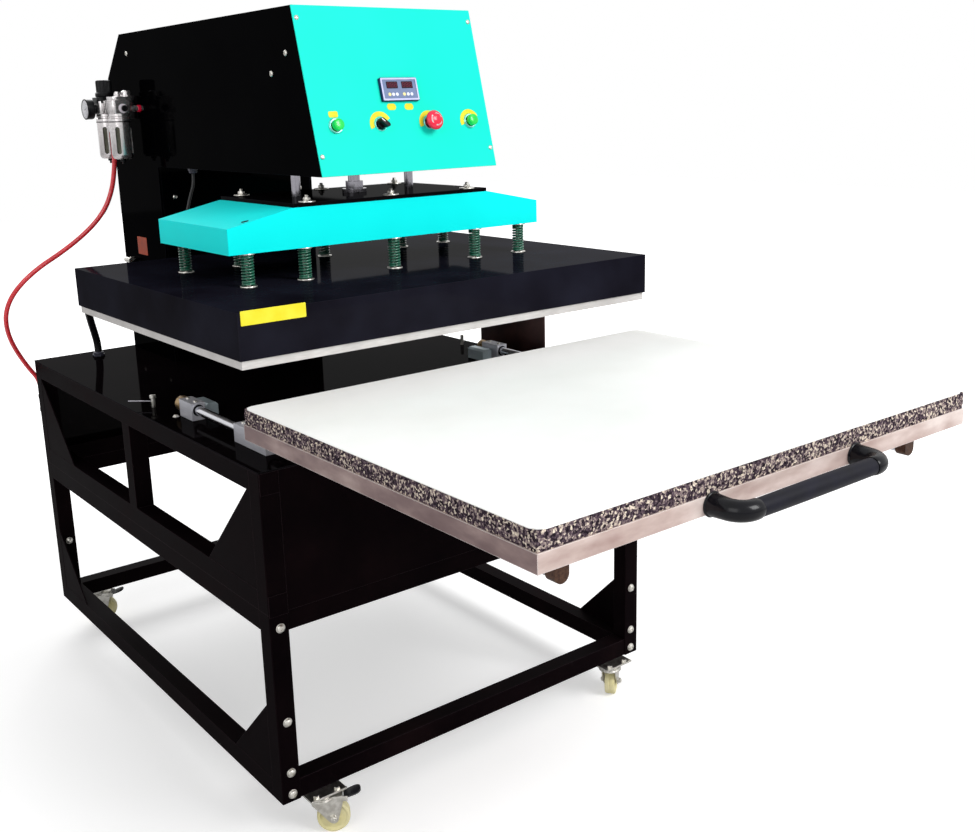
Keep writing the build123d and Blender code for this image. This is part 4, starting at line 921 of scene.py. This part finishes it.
def controls():
    """Push buttons, selector, stop button, display module, keys and their legend plates."""
    spots = {"left": (-165.5, 98), "right": (165.5, 98), "mode": (-60, 98), "stop": (60, 98)}

    def collar(bm, place, outer=15.0, inner=11.9, tall=4.2):
        lathe(bm, [(inner, 0.1), (outer + 0.8, 0.1), (outer + 0.8, 1.2), (outer, 2.0), (outer - 0.4, tall - 0.6),
                   (outer - 1.2, tall), (inner + 0.3, tall), (inner, tall - 0.4)], place, 48, ring=True)

    build("control_rings", nickel_painted_reflection, "frame", "black_plastic",
          *[lambda bm, p=p: collar(bm, panel(*p)) for p in (spots["left"], spots["right"])])
    build("control_nuts", nickel_painted_reflection, "frame", "black_plastic",
          *[lambda bm, p=p: collar(bm, panel(*p), 13, 11.9, 1.4) for p in (spots["mode"], spots["stop"])])

    stem = [(0, -30), (5, -30)]
    base = 5.4
    cap = [(5, base), (10.9, base), (11.5, base + 0.8), (11.5, base + 8.4), (11, base + 9.9), (9.4, base + 11),
           (6.4, base + 11.7), (3.2, base + 11.9), (0, base + 12)]
    for side in ("left", "right"):
        button = turned(f"green_button_{side}", button_green, f"start_{side}", "green_button",
                        panel(*spots[side]), stem + cap)
        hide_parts(f"start_button_{side}")

    neck = 6.4
    mushroom = [(5, neck), (9.5, neck), (9.5, neck + 6), (14, neck + 8), (18.8, neck + 10.8), (20, neck + 12.6),
                (20, neck + 14.8), (19.2, neck + 16.8), (16.8, neck + 19), (13, neck + 21), (8, neck + 22.9),
                (4, neck + 23.7), (0, neck + 24)]
    stop = turned("stop_mushroom", button_red, "stop", "red_button", panel(*spots["stop"]), stem + mushroom, 56)
    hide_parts("stop_button")

    def arrows(bm):
        """Three plain turning marks on the mushroom's crown."""
        for begin in (15, 135, 255):
            sweep = [radians(begin + 7 * step) for step in range(11)]
            outline = [(13.4, angle) for angle in sweep] + [(12.2, radians(begin + 88))]
            outline += [(11.0, angle) for angle in reversed(sweep)]
            rows = []
            for reach, angle in outline:
                crown = neck + 21.25 + (13 - reach) * 0.45
                rows.append(panel(*spots["stop"]) @ Vector((reach * cos(angle), reach * sin(angle), crown)))
            face = bm.faces.new([bm.verts.new(point) for point in rows])
            bmesh.ops.solidify(bm, geom=[face], thickness=0.0002)

    build("stop_arrows", mark_white, "stop", "red_button", arrows)

    def selector(bm):
        place = panel(*spots["mode"], turn=50)
        lathe(bm, stem + [(5, 1.3), (9.5, 1.3), (10, 2), (9.6, 5.8), (8.8, 7), (0, 7.3)], place, 48)
        grip = arc(0, 8, 4, 0, 180, 10) + arc(0, -8, 4, 180, 360, 10)
        prism(bm, grip, 6.5, 20.3, place, 1.2, 3)

    knob = build("selector_knob", knob_black, "mode", "black_plastic", selector)
    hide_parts("mode_knob")
    build("selector_mark", mark_white, "mode", "black_plastic",
          lambda bm: slab(bm, (-1.0, 2, 19.9), (1.0, 11, 20.6), panel(*spots["mode"], turn=50), 0.3))

    centre = (-3.5, 166.5)
    face_lift = 8.0
    wide, tall = 90, 47.5
    window_columns, window_up = (-17.7, 19.0), 8.5

    def bezel(bm):
        place = panel(*centre)
        rim, inner = rounded(wide, tall, 2.5), rounded(wide - 8, tall - 8, 1.5)
        levels = [(rim, 0.1), (rim, face_lift - 1.2), (rounded(wide - 1.6, tall - 1.6, 2), face_lift),
                  (inner, face_lift), (inner, face_lift - 1.5)]
        loft(bm, [ring_at(bm, ring, height, place) for ring, height in levels])
        slab(bm, (-wide / 2 + 3, -tall / 2 + 2.5, -66), (wide / 2 - 3, tall / 2 - 2.5, 0), place, 1.0)

    housing = build("display_housing", navy_bezel, "frame", "black_plastic", bezel)
    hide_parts("controller")

    def flat(bm, outline, x, y, lift, thick=0.3, edge=0.1):
        prism(bm, [(x + px, y + py) for px, py in outline], lift, lift + thick, panel(*centre), edge, 1)

    def border(bm):
        outer, inner = rounded(wide - 2, tall - 2, 2), rounded(wide - 9, tall - 9, 1.2)
        low, high = face_lift - 0.1, face_lift + 0.05
        levels = [(outer, low), (outer, high), (inner, high), (inner, low)]
        rings = [ring_at(bm, ring, height, panel(*centre)) for ring, height in levels]
        loft(bm, rings + rings[:1], capped=False)

    build("display_border", face_border, "frame", "black_plastic", border)
    build("display_face", face_grey, "frame", "black_plastic",
          lambda bm: flat(bm, rounded(wide - 9, tall - 9, 1), 0, 0, face_lift - 1.5, 0.5))
    top = face_lift - 1.0
    build("display_windows", window_dark, "frame", "black_plastic",
          *[lambda bm, x=x: flat(bm, rounded(27, 14, 0.8), x, window_up, top, 0.5) for x in window_columns])

    def digits(bm):
        strokes = [(0, up, 4.4, 0.9) for up in (4.3, 0, -4.3)]
        strokes += [(side, up, 0.9, 3.6) for side in (-2.6, 2.6) for up in (2.15, -2.15)]
        for x in window_columns:
            for column in (-8.2, 0, 8.2):
                for dx, dy, w, h in strokes:
                    flat(bm, rounded(w, h, 0.3, 2), x + column + dx, window_up + dy, top + 0.5, 0.12, 0)

    build("display_digits", digit_red, "frame", "black_plastic", digits)
    key = [(0, 3.4), (3.5, 3.4), (3.5, 7.2), (3.1, 7.75), (2.0, 7.95), (0, 8.0)]
    for number, x in enumerate((-26.5, -17.5, -8.5, 9, 18.5, 27.5), start=1):
        tone = key_cream if number in (1, 4) else key_white
        piece = turned(f"round_key_{number}", tone, f"key_{number}", "display_keys",
                       panel(centre[0] + x, centre[1] - 10.5), key, 32)
        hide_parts(f"display_key_{number}")

    def legends(bm):
        for name, radius in (("mode", 26), ("stop", 25), ("right", 25)):
            outline = arc(0, 0, radius, 25, 200, 24) + arc(0, 0, 15.9, 200, 25, 24)
            prism(bm, outline, 0.05, 0.65, panel(*spots[name]), 0.15, 1)
        prism(bm, rounded(21, 12, 3), 0.05, 0.65, panel(-166.7, 120.9), 0.15, 1)
        for x, up in ((-26.8, 132.5), (15.8, 131.9)):
            prism(bm, rounded(21.5, 13, 6), 0.05, 0.65, panel(x, up), 0.15, 1)

    build("legend_plates", legend_yellow, "frame", "turquoise", legends)


def air_unit():
    """Filter-regulator and lubricator: cast bodies, slotted bowls, drains, knob, gauge and ports."""
    half = 26
    mid = (REGULATOR_Y + LUBRICATOR_Y) / 2
    foot, roof = BODY_LOW, BODY_HIGH
    port_z = 1407
    link = at(AIR_X, mid, 0)
    inlet = at(-HEAD_HALF - 31, LUBRICATOR_Y - 12, 1406, (1, 0, 0))

    def castings(bm):
        for y in (REGULATOR_Y, LUBRICATOR_Y):
            place = at(AIR_X, y, 0)
            prism(bm, rounded(52, 52, 10), foot + 20, roof - 8, place, 2.5, 3)
            prism(bm, rounded(46, 46, 12), roof - 9, roof, place, 2.0, 2)
            lathe(bm, [(20, foot), (25.5, foot), (26.5, foot + 1.5), (26.5, foot + 8), (24.5, foot + 9.5),
                       (24.5, foot + 12), (26, foot + 13.5), (26, foot + 20), (24, foot + 23), (0, foot + 23)],
                  place, 48)
            for side in (-25, 25):
                for rib in (-9, 0, 9):
                    slab(bm, (side - 1.5, rib - 1.6, foot + 22), (side + 1.5, rib + 1.6, roof - 12), place)
        slab(bm, (-17, LUBRICATOR_Y + 22 - mid, foot + 26), (17, REGULATOR_Y - 22 - mid, roof - 12), link, 3, 3)
        slab(bm, (-20, -5, foot + 22), (20, 5, roof - 8), link, 2, 2)
        lathe(bm, [(0, foot - 24.8), (8.6, foot - 24.8), (9.5, foot - 24), (9.5, foot - 14, 6),
                   (9.5, foot - 8, 6), (8, foot - 7.6), (8, foot + 30), (0, foot + 30)],
              at(AIR_X - 5, mid, 0), 36)
        lathe(bm, [(0, 0.1), (8, 0.1), (8, 12), (6.6, 12.4), (6.6, 30.8), (0, 30.8)], inlet, 36)

    bodies = build("air_castings", cast_metal, "frame", "aluminium", castings)
    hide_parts("air_unit")

    low = foot - 91
    guard = [(17, low + 1), (21, low + 2), (24.2, low + 6), (25.6, low + 13), (25.8, low + 80), (25.8, foot),
             (23.4, foot), (23.4, low + 14), (21.5, low + 8), (17, low + 5)]
    bowl = [(0, low + 4), (14, low + 4), (20, low + 8), (22.4, low + 16), (22.6, foot - 1), (0, foot - 1)]
    insert = [(0, low + 6), (12, low + 6), (19, low + 12), (19, foot - 2), (0, foot - 2)]
    drain = [(0, low - 11), (3.2, low - 11), (3.6, low - 10), (3.6, low - 5), (6.5, low - 4.5), (7, low - 3.5),
             (7, low + 2), (14, low + 3), (14, low + 4), (0, low + 4)]
    for tag, y in (("regulator", REGULATOR_Y), ("lubricator", LUBRICATOR_Y)):
        place = at(AIR_X, y, 0)
        shell = turned(f"bowl_guard_{tag}", cast_metal, "frame", "aluminium", place, guard, 64, ring=True)

        def slots(bm, y=y):
            for angle in (232, 322, 52, 142):
                out = (cos(radians(angle)), sin(radians(angle)), 0)
                prism(bm, rounded(11, 66, 5.2), 18, 32, at(AIR_X, y, low + 46, out))

        carve(shell, build("slot_cutter", cast_metal, "frame", "aluminium", slots))
        turned(f"clear_bowl_{tag}", bowl_clear, "frame", "aluminium", place, bowl)
        turned(f"bowl_insert_{tag}", knob_black, "frame", "black_plastic", place, insert, 40)
        turned(f"drain_{tag}", knob_black, "frame", "black_plastic", place, drain, 32)

    def seams(bm):
        for y in (REGULATOR_Y, LUBRICATOR_Y):
            lathe(bm, [(25.4, foot - 1), (26.9, foot - 0.8), (26.9, foot + 1.4), (25.4, foot + 1.6)],
                  at(AIR_X, y, 0), 64, ring=True)
        prism(bm, rounded(53, 53, 12), roof - 15, roof + 0.2, at(AIR_X, REGULATOR_Y, 0), 1.5, 2)

    build("seals_and_bonnet", knob_black, "frame", "black_plastic", seams)

    def bracket(bm):
        wall = at(-HEAD_HALF, mid, 1409, (-1, 0, 0))
        prism(bm, rounded(60, 56, 8), 0.1, 5, wall, 1.0, 2)
        slab(bm, (-12, -12, 4), (12, 12, 45), wall, 2.0, 2)
        for dy in (-20, 20):
            socket_screw(bm, at(-HEAD_HALF - 5, mid + dy, 1409, (-1, 0, 0)), 4.5, 3.5, 1.6)

    build("air_bracket", enamel_plate, "frame", "black_housing", bracket)

    def dome(bm):
        lathe(bm, [(0, roof - 34), (14, roof - 34), (15, roof - 33), (15, roof + 2.2), (14, roof + 3),
                   (12, roof + 3.2), (12, roof + 8), (11.3, roof + 11), (8.6, roof + 13.6), (4.6, roof + 14.8),
                   (0, roof + 15)], at(AIR_X + 22, LUBRICATOR_Y, 0), 48)
        lathe(bm, [(0, roof - 1), (8, roof - 1), (8, roof + 6, 6), (7, roof + 7), (6.4, roof + 11),
                   (5.4, roof + 12), (0, roof + 12)], at(AIR_X, LUBRICATOR_Y, 0), 36)

    build("oil_dome", cast_metal, "frame", "aluminium", dome)
    turned("front_port", knob_black, "frame", "black_plastic",
           at(AIR_X + 4, LUBRICATOR_Y - half, port_z, (0, -1, 0)),
           [(0, 0), (7.6, 0), (7.6, 6), (6.6, 7), (5, 7), (4.6, 4.5), (0, 4.2)], 40)
    turned("port_washer", dial_white, "frame", "aluminium",
           at(AIR_X + 2, LUBRICATOR_Y - half, port_z, (0, -1, 0)),
           [(0, 0.1), (11, 0.1), (11, 1.6), (10.4, 2.2), (0, 2.2)], 40)

    def knob(bm):
        place = at(AIR_X, REGULATOR_Y, roof + 0.4)
        steps, ribs = 144, 36
        levels = [(17, 0), (21.5, 0.6), (22.5, 3), (22.5, 10), (19.5, 12.5), (18.6, 14), (18.6, 38), (17.4, 41),
                  (14, 42)]
        rows = []
        for radius, height in levels:
            outline = []
            for step in range(steps):
                angle = tau * step / steps
                reach = radius + (0.55 * cos(ribs * angle) if 14 <= height <= 38 else 0)
                outline.append((reach * cos(angle), reach * sin(angle)))
            rows.append(ring_at(bm, outline, height, place))
        loft(bm, rows)

    grip = build("pressure_knob", knob_black, "regulator", "black_plastic", knob)
    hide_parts("regulator_knob")
    turned("outlet_collar", button_red, "frame", "red_hose", inlet,
           [(6.7, 17), (8.4, 17.3), (8.4, 24.7), (6.7, 25)], 36, ring=True)

    place = at(AIR_X - half, REGULATOR_Y, port_z, (-1, 0, 0))
    case = [(0, 0.2), (11, 0.2), (12, 2), (12, 5), (18, 6.5), (23.5, 9), (24.5, 12), (24.5, 24), (25, 24.5),
            (25, 27), (23.6, 28), (22.4, 27.6), (22.2, 25.5), (0, 25.4)]
    body = turned("gauge_case", knob_black, "frame", "gauge_face", place, case, 56)
    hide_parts("air_gauge")
    turned("gauge_dial", dial_white, "frame", "gauge_face", place,
           [(0, 25.45), (22.1, 25.45), (22.1, 25.8), (0, 25.8)])

    def marks(bm):
        for step in range(31):
            reach, width = (4.2, 0.5) if step % 5 == 0 else (2.2, 0.28)
            tick = place @ Matrix.Rotation(radians(225 - 9 * step), 4, "Z")
            slab(bm, (20.5 - reach, -width, 25.8), (20.5, width, 25.95), tick, 0)
        needle = [(-5, -0.9), (15, -0.25), (15, 0.25), (-5, 0.9)]
        prism(bm, needle, 26.0, 26.3, place @ Matrix.Rotation(radians(200), 4, "Z"))
        lathe(bm, [(0, 25.9), (2.2, 25.9), (2.2, 26.9), (0, 27)], place, 24)

    build("gauge_marks", dial_black, "frame", "gauge_face", marks)
    turned("gauge_glass", lens_clear, "frame", "gauge_face", place,
           [(0, 27.1), (22.3, 27.1), (22.3, 27.5), (12, 28.0), (0, 28.2)])


CASTERS = {"front_left": (-398, 5, -30), "front_right": (398, 5, 37),
           "rear_left": (-398, 1261, -30), "rear_right": (398, 1261, -20)}
TRAIL, AXLE = 22, 33
UPRIGHT = Matrix.Rotation(radians(90), 4, "X")


def casters():
    """Wheel, fork with race and axle, and pedal of each swivel caster."""
    for corner, (x, y, turn) in CASTERS.items():
        here = at(x, y, 0, turn=turn)
        side = here @ Matrix.Translation((TRAIL, 0, AXLE)) @ UPRIGHT

        rim = [(9, 10.5), (9.6, 11.6), (11.5, 11.6), (13, 9.6), (24, 9.2), (26, 10.5), (28.5, 12), (31.4, 11.4),
               (32.7, 9.4), (33, 6), (33, 1.6), (32.2, 0.8)]
        profile = [(4.05, -10.5)] + [(radius, -height) for radius, height in rim] + rim[::-1] + [(4.05, 10.5)]
        tyre = turned(f"wheel_{corner}", cream_tyre, f"wheel_{corner}", "caster_tyre", side, profile, 72,
                      ring=True)
        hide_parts(f"caster_wheel_{corner}")

        def fork(bm, here=here, side=side):
            top = 82
            roof = arc(0, 0, 25, 40, 320, 30) + [(TRAIL + 20, -17), (TRAIL + 20, 17)]
            prism(bm, roof, top - 3.5, top, here, 1.2, 2)
            lathe(bm, [(25, top - 3), (26.5, top - 4.5), (27, top - 7), (25.5, top - 7.6), (24, top - 5),
                       (22, top - 3.4), (0, top - 3.2)], here, 56)
            for face in (-1, 1):
                cheek = [(-21, top - 2), (-19, top - 16)] + arc(TRAIL, AXLE, 10, 205, 335, 14)
                cheek += [(TRAIL + 19, top - 16), (TRAIL + 20, top - 2)]
                near, far = sorted((face * 14.6, face * 17.2))
                prism(bm, cheek, near, far, here @ UPRIGHT, 0.7, 2)
                outward = Matrix.Rotation(0 if face < 0 else pi, 4, "X")
                end = side @ Matrix.Translation((0, 0, -face * 17.2)) @ outward
                washer(bm, end, 8, 4, 1.2)
                hexagon_bolt(bm, end @ Matrix.Translation((0, 0, 1.2)), 12, 5, 3, 2)
            lathe(bm, [(0, -17.2), (4, -17.2), (4, 17.2), (0, 17.2)], side, 24)
            for face in (-1, 1):
                near, far = sorted((face * 15.5, face * 17.5))
                slab(bm, (TRAIL + 8, near, top - 12), (TRAIL + 29, far, top - 1), here, 0.6, 2)
            lathe(bm, [(0, -18.4), (3, -18.4), (3.4, -17.6), (2, -17.5), (2, 17.5), (3.4, 17.6), (3, 18.4),
                       (0, 18.4)], here @ Matrix.Translation((TRAIL + 25, 0, top - 6)) @ UPRIGHT, 24)

        stamped = build(f"fork_{corner}", zinc, f"fork_{corner}", "caster_zinc", fork)
        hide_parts(f"caster_fork_{corner}")

        def pedal(bm, here=here):
            place = here @ Matrix.Translation((TRAIL + 25, 0, 76)) @ Matrix.Rotation(radians(-18), 4, "Y")
            outline = [(-3, -14), (20, -15)] + arc(22, -5, 10, -80, 0, 6) + arc(22, 5, 10, 0, 80, 6)
            outline += [(20, 15), (-3, 14)]
            prism(bm, outline, -2, 1.2, place, 0.9, 3)
            for x in (12, 17, 22, 27):
                slab(bm, (x, -9, 1), (x + 1.8, 9, 1.9), place, 0.5, 2)
            hub = here @ Matrix.Translation((TRAIL + 25, 0, 76)) @ UPRIGHT
            lathe(bm, [(2.1, -15), (4, -15), (4, 15), (2.1, 15)], hub, 24, ring=True)

        lever = build(f"pedal_{corner}", pedal_black, f"pedal_{corner}", "pedal_black", pedal)
        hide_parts(f"caster_pedal_{corner}")


def on_table():
    """Small fittings of the table, and the plain tags that stand where the machine is labelled."""
    def tag(name, material, corner, width, height, out, body, slot, turn=0):
        build(name, material, body, slot,
              lambda bm: prism(bm, rounded(width, height, 1.5), 0.05, 0.5, at(*corner, out, turn), 0.12, 1))

    tag("yellow_tag", legend_yellow, (-430, 0, COVER_LOW + 75), 128, 26, (0, -1, 0), "platen", "black_gloss")
    tag("orange_tag", tag_orange, (-HEAD_HALF, 1118, 1057), 62, 46, (-1, 0, 0), "frame", "black_housing")

    def block_screws(bm):
        for side in (-1, 1):
            for y in (94, 197, 417, 453):
                socket_screw(bm, at(side * 410, y, TABLE_TOP + 36.8), 4.5, 3.5, 1.8)
            washer(bm, at(side * 436, 464, TABLE_TOP), 7, 3.3, 1.4)
            socket_screw(bm, at(side * 436, 464, TABLE_TOP + 1.4), 5, 3.5, 1.8)

    build("block_screws", zinc, "frame", "zinc", block_screws)

    def lever(bm):
        slab(bm, (-1, 0, -1), (1, 57, 1), at(-439, 576, TABLE_TOP + 13, turn=46), 0.3)

    build("switch_lever", dark_rod, "frame", "table_trim", lever)

    # The guard plate's brown material is painted warm light on a black sheet.
    def guard(bm):
        slab(bm, (HALF_TABLE + 11.5, 340, 715), (HALF_TABLE + 15.5, 598, 880), at(0, 0, 0), 1.0)
        for y in (400, 538):
            spacer = at(HALF_TABLE, y, TABLE_TOP - 23, (1, 0, 0))
            lathe(bm, [(0, 0.1), (8, 0.1), (8, 11.4), (0, 11.4)], spacer, 32)

    plate = build("guard_plate", black_plate_painted_warm_light, "frame", "table_trim", guard)
    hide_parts("table_fittings")

    def pins(bm):
        lathe(bm, [(0, 0.1), (4.5, 0.1), (4.5, 19.8), (6.4, 20), (7, 20.7), (7, 26.2), (6.2, 27), (0, 27)],
              at(-439, 576, TABLE_TOP), 36)
        lathe(bm, [(0, 0.1), (4.5, 0.1), (4.5, 26), (3.6, 27), (0, 27)], at(444, 615, TABLE_TOP), 36)
        lathe(bm, [(0, 0.1), (8, 0.1), (8, 9), (0, 9)], at(-HEAD_HALF, 1189, 1015, (-1, 0, 0)), 36)
        lathe(bm, [(0, 0.1), (6.4, 0.1), (7, 0.8), (7, 33.2), (6.4, 34), (0, 34)],
              at(-HEAD_HALF - 14, 1172, 1015, (0, 1, 0)), 36)

    build("pins_and_port", zinc, "frame", "zinc", pins)

    def tee(bm):
        x, y = HOSE_ROUTE[-1][:2]
        lathe(bm, [(0, 638), (6, 638), (6, 620.6), (8.2, 620), (9, 621), (9, 631), (8.2, 632), (8.2, 656),
                   (9, 657), (9, 667), (8.2, 667.8), (0, 667.8)], at(x, y, 0), 40)
        lathe(bm, [(0, 0.1), (8.6, 0.1, 6), (8.6, 6, 6), (7, 6.6), (7, 27), (0, 27)],
              at(x, TABLE_DEPTH, 644, (0, 1, 0)), 36)

    build("hose_tee", knob_black, "frame", "black_plastic", tee)
    gland("head_gland", at(-200, 800, HEAD_FLOOR, (0, 0, -1)), "frame")
    gland("cover_gland", at(-246, 780, COVER_TOP), "platen")
    gland("platen_gland", at(-440, 811, 990, (0, 1, 0)), "platen", 14)
    gland("table_gland", at(-335, 1198, TABLE_TOP), "frame", 14)


def studio():
    """Pale floor, white surround and soft lamps."""
    scene = bpy.context.scene
    scene.view_settings.view_transform = "Standard"
    ground = bpy.data.meshes.new("floor")
    reach = 14
    corners = [(-reach, -reach, 0), (reach, -reach, 0), (reach, reach, 0), (-reach, reach, 0)]
    ground.from_pydata(corners, [], [(0, 1, 2, 3)])
    floor = bpy.data.objects.new("floor", ground)
    scene.collection.objects.link(floor)
    made = bpy.data.materials.new("pale_floor")
    made.use_nodes = True
    tree = made.node_tree
    tree.nodes.clear()
    diffuse = node(tree, "ShaderNodeBsdfDiffuse", {"Color": linear("#e6e6e6")})
    rays = node(tree, "ShaderNodeLightPath")
    place = node(tree, "ShaderNodeTexCoord")
    away = node(tree, "ShaderNodeVectorMath", {0: place.outputs["Object"]}, operation="LENGTH")
    fade = node(tree, "ShaderNodeMapRange", {"Value": away.outputs["Value"], "From Min": 1.2, "From Max": 4.5,
                                             "To Min": 0.42, "To Max": 1.0})
    lift = node(tree, "ShaderNodeMath", {0: rays.outputs["Is Camera Ray"], 1: fade.outputs[0]},
                operation="MULTIPLY")
    glow = node(tree, "ShaderNodeEmission", {"Color": (1, 1, 1, 1), "Strength": lift.outputs[0]})
    both = node(tree, "ShaderNodeAddShader", {0: diffuse.outputs[0], 1: glow.outputs[0]})
    node(tree, "ShaderNodeOutputMaterial", {"Surface": both.outputs[0]})
    ground.materials.append(made)

    world = bpy.data.worlds.new("surround")
    scene.world = world
    world.use_nodes = True
    tree = world.node_tree
    tree.nodes.clear()
    rays = node(tree, "ShaderNodeLightPath")
    seen = node(tree, "ShaderNodeMath", {0: rays.outputs["Is Camera Ray"], 1: rays.outputs["Is Glossy Ray"]},
                operation="MAXIMUM")
    seen = node(tree, "ShaderNodeMath", {0: seen.outputs[0], 1: rays.outputs["Is Transmission Ray"]},
                operation="MAXIMUM")
    strength = node(tree, "ShaderNodeMapRange", {"Value": seen.outputs[0], "To Min": 0.5, "To Max": 1.0})
    back = node(tree, "ShaderNodeBackground", {"Color": (1, 1, 1, 1), "Strength": strength.outputs[0]})
    node(tree, "ShaderNodeOutputWorld", {"Surface": back.outputs[0]})

    for name, place, target, size, power in (
            ("key_lamp", (1.4, -4.4, 3.9), (0, 0, 0.8), 2.4, 215),
            ("fill_lamp", (-4.0, -2.2, 2.6), (0, 0, 0.8), 2.6, 45),
            ("back_lamp", (0.5, 3.8, 3.6), (0, 0, 1.0), 2.4, 90)):
        data = bpy.data.lights.new(name, "AREA")
        data.shape = "SQUARE"
        data.size = size
        data.energy = power
        lamp = bpy.data.objects.new(name, data)
        lamp.location = place
        lamp.rotation_euler = (Vector(target) - Vector(place)).to_track_quat("-Z", "Y").to_euler()
        scene.collection.objects.link(lamp)


def camera():
    """The photograph's viewpoint, solved from the machine's square edges."""
    yaw, pitch, roll = 0.6553, -0.2456, -0.0277
    photo_width, photo_height, focal = 975, 832, 1123.2
    centre_x, centre_y = 473.3, 385.3
    ahead = Vector((sin(yaw) * cos(pitch), cos(yaw) * cos(pitch), sin(pitch)))
    level = Vector((cos(yaw), -sin(yaw), 0))
    upright = level.cross(ahead)
    right = level * cos(roll) + upright * sin(roll)
    up = upright * cos(roll) - level * sin(roll)
    data = bpy.data.cameras.new("photo_camera")
    data.sensor_width = 36
    data.sensor_fit = "HORIZONTAL"
    data.lens = focal / photo_width * data.sensor_width
    data.shift_x = (photo_width / 2 - centre_x) / photo_width
    data.shift_y = (centre_y - photo_height / 2) / photo_width
    made = bpy.data.objects.new("photo_camera", data)
    facing = Matrix((right, up, -ahead)).transposed().to_4x4()
    made.matrix_world = Matrix.Translation(spot(-1336, -1745, 1395.1)) @ facing
    bpy.context.scene.collection.objects.link(made)
    bpy.context.scene.camera = made


camera()
cords()
on_drawer()
fasteners()
on_beam()
controls()
air_unit()
casters()
on_table()
studio()
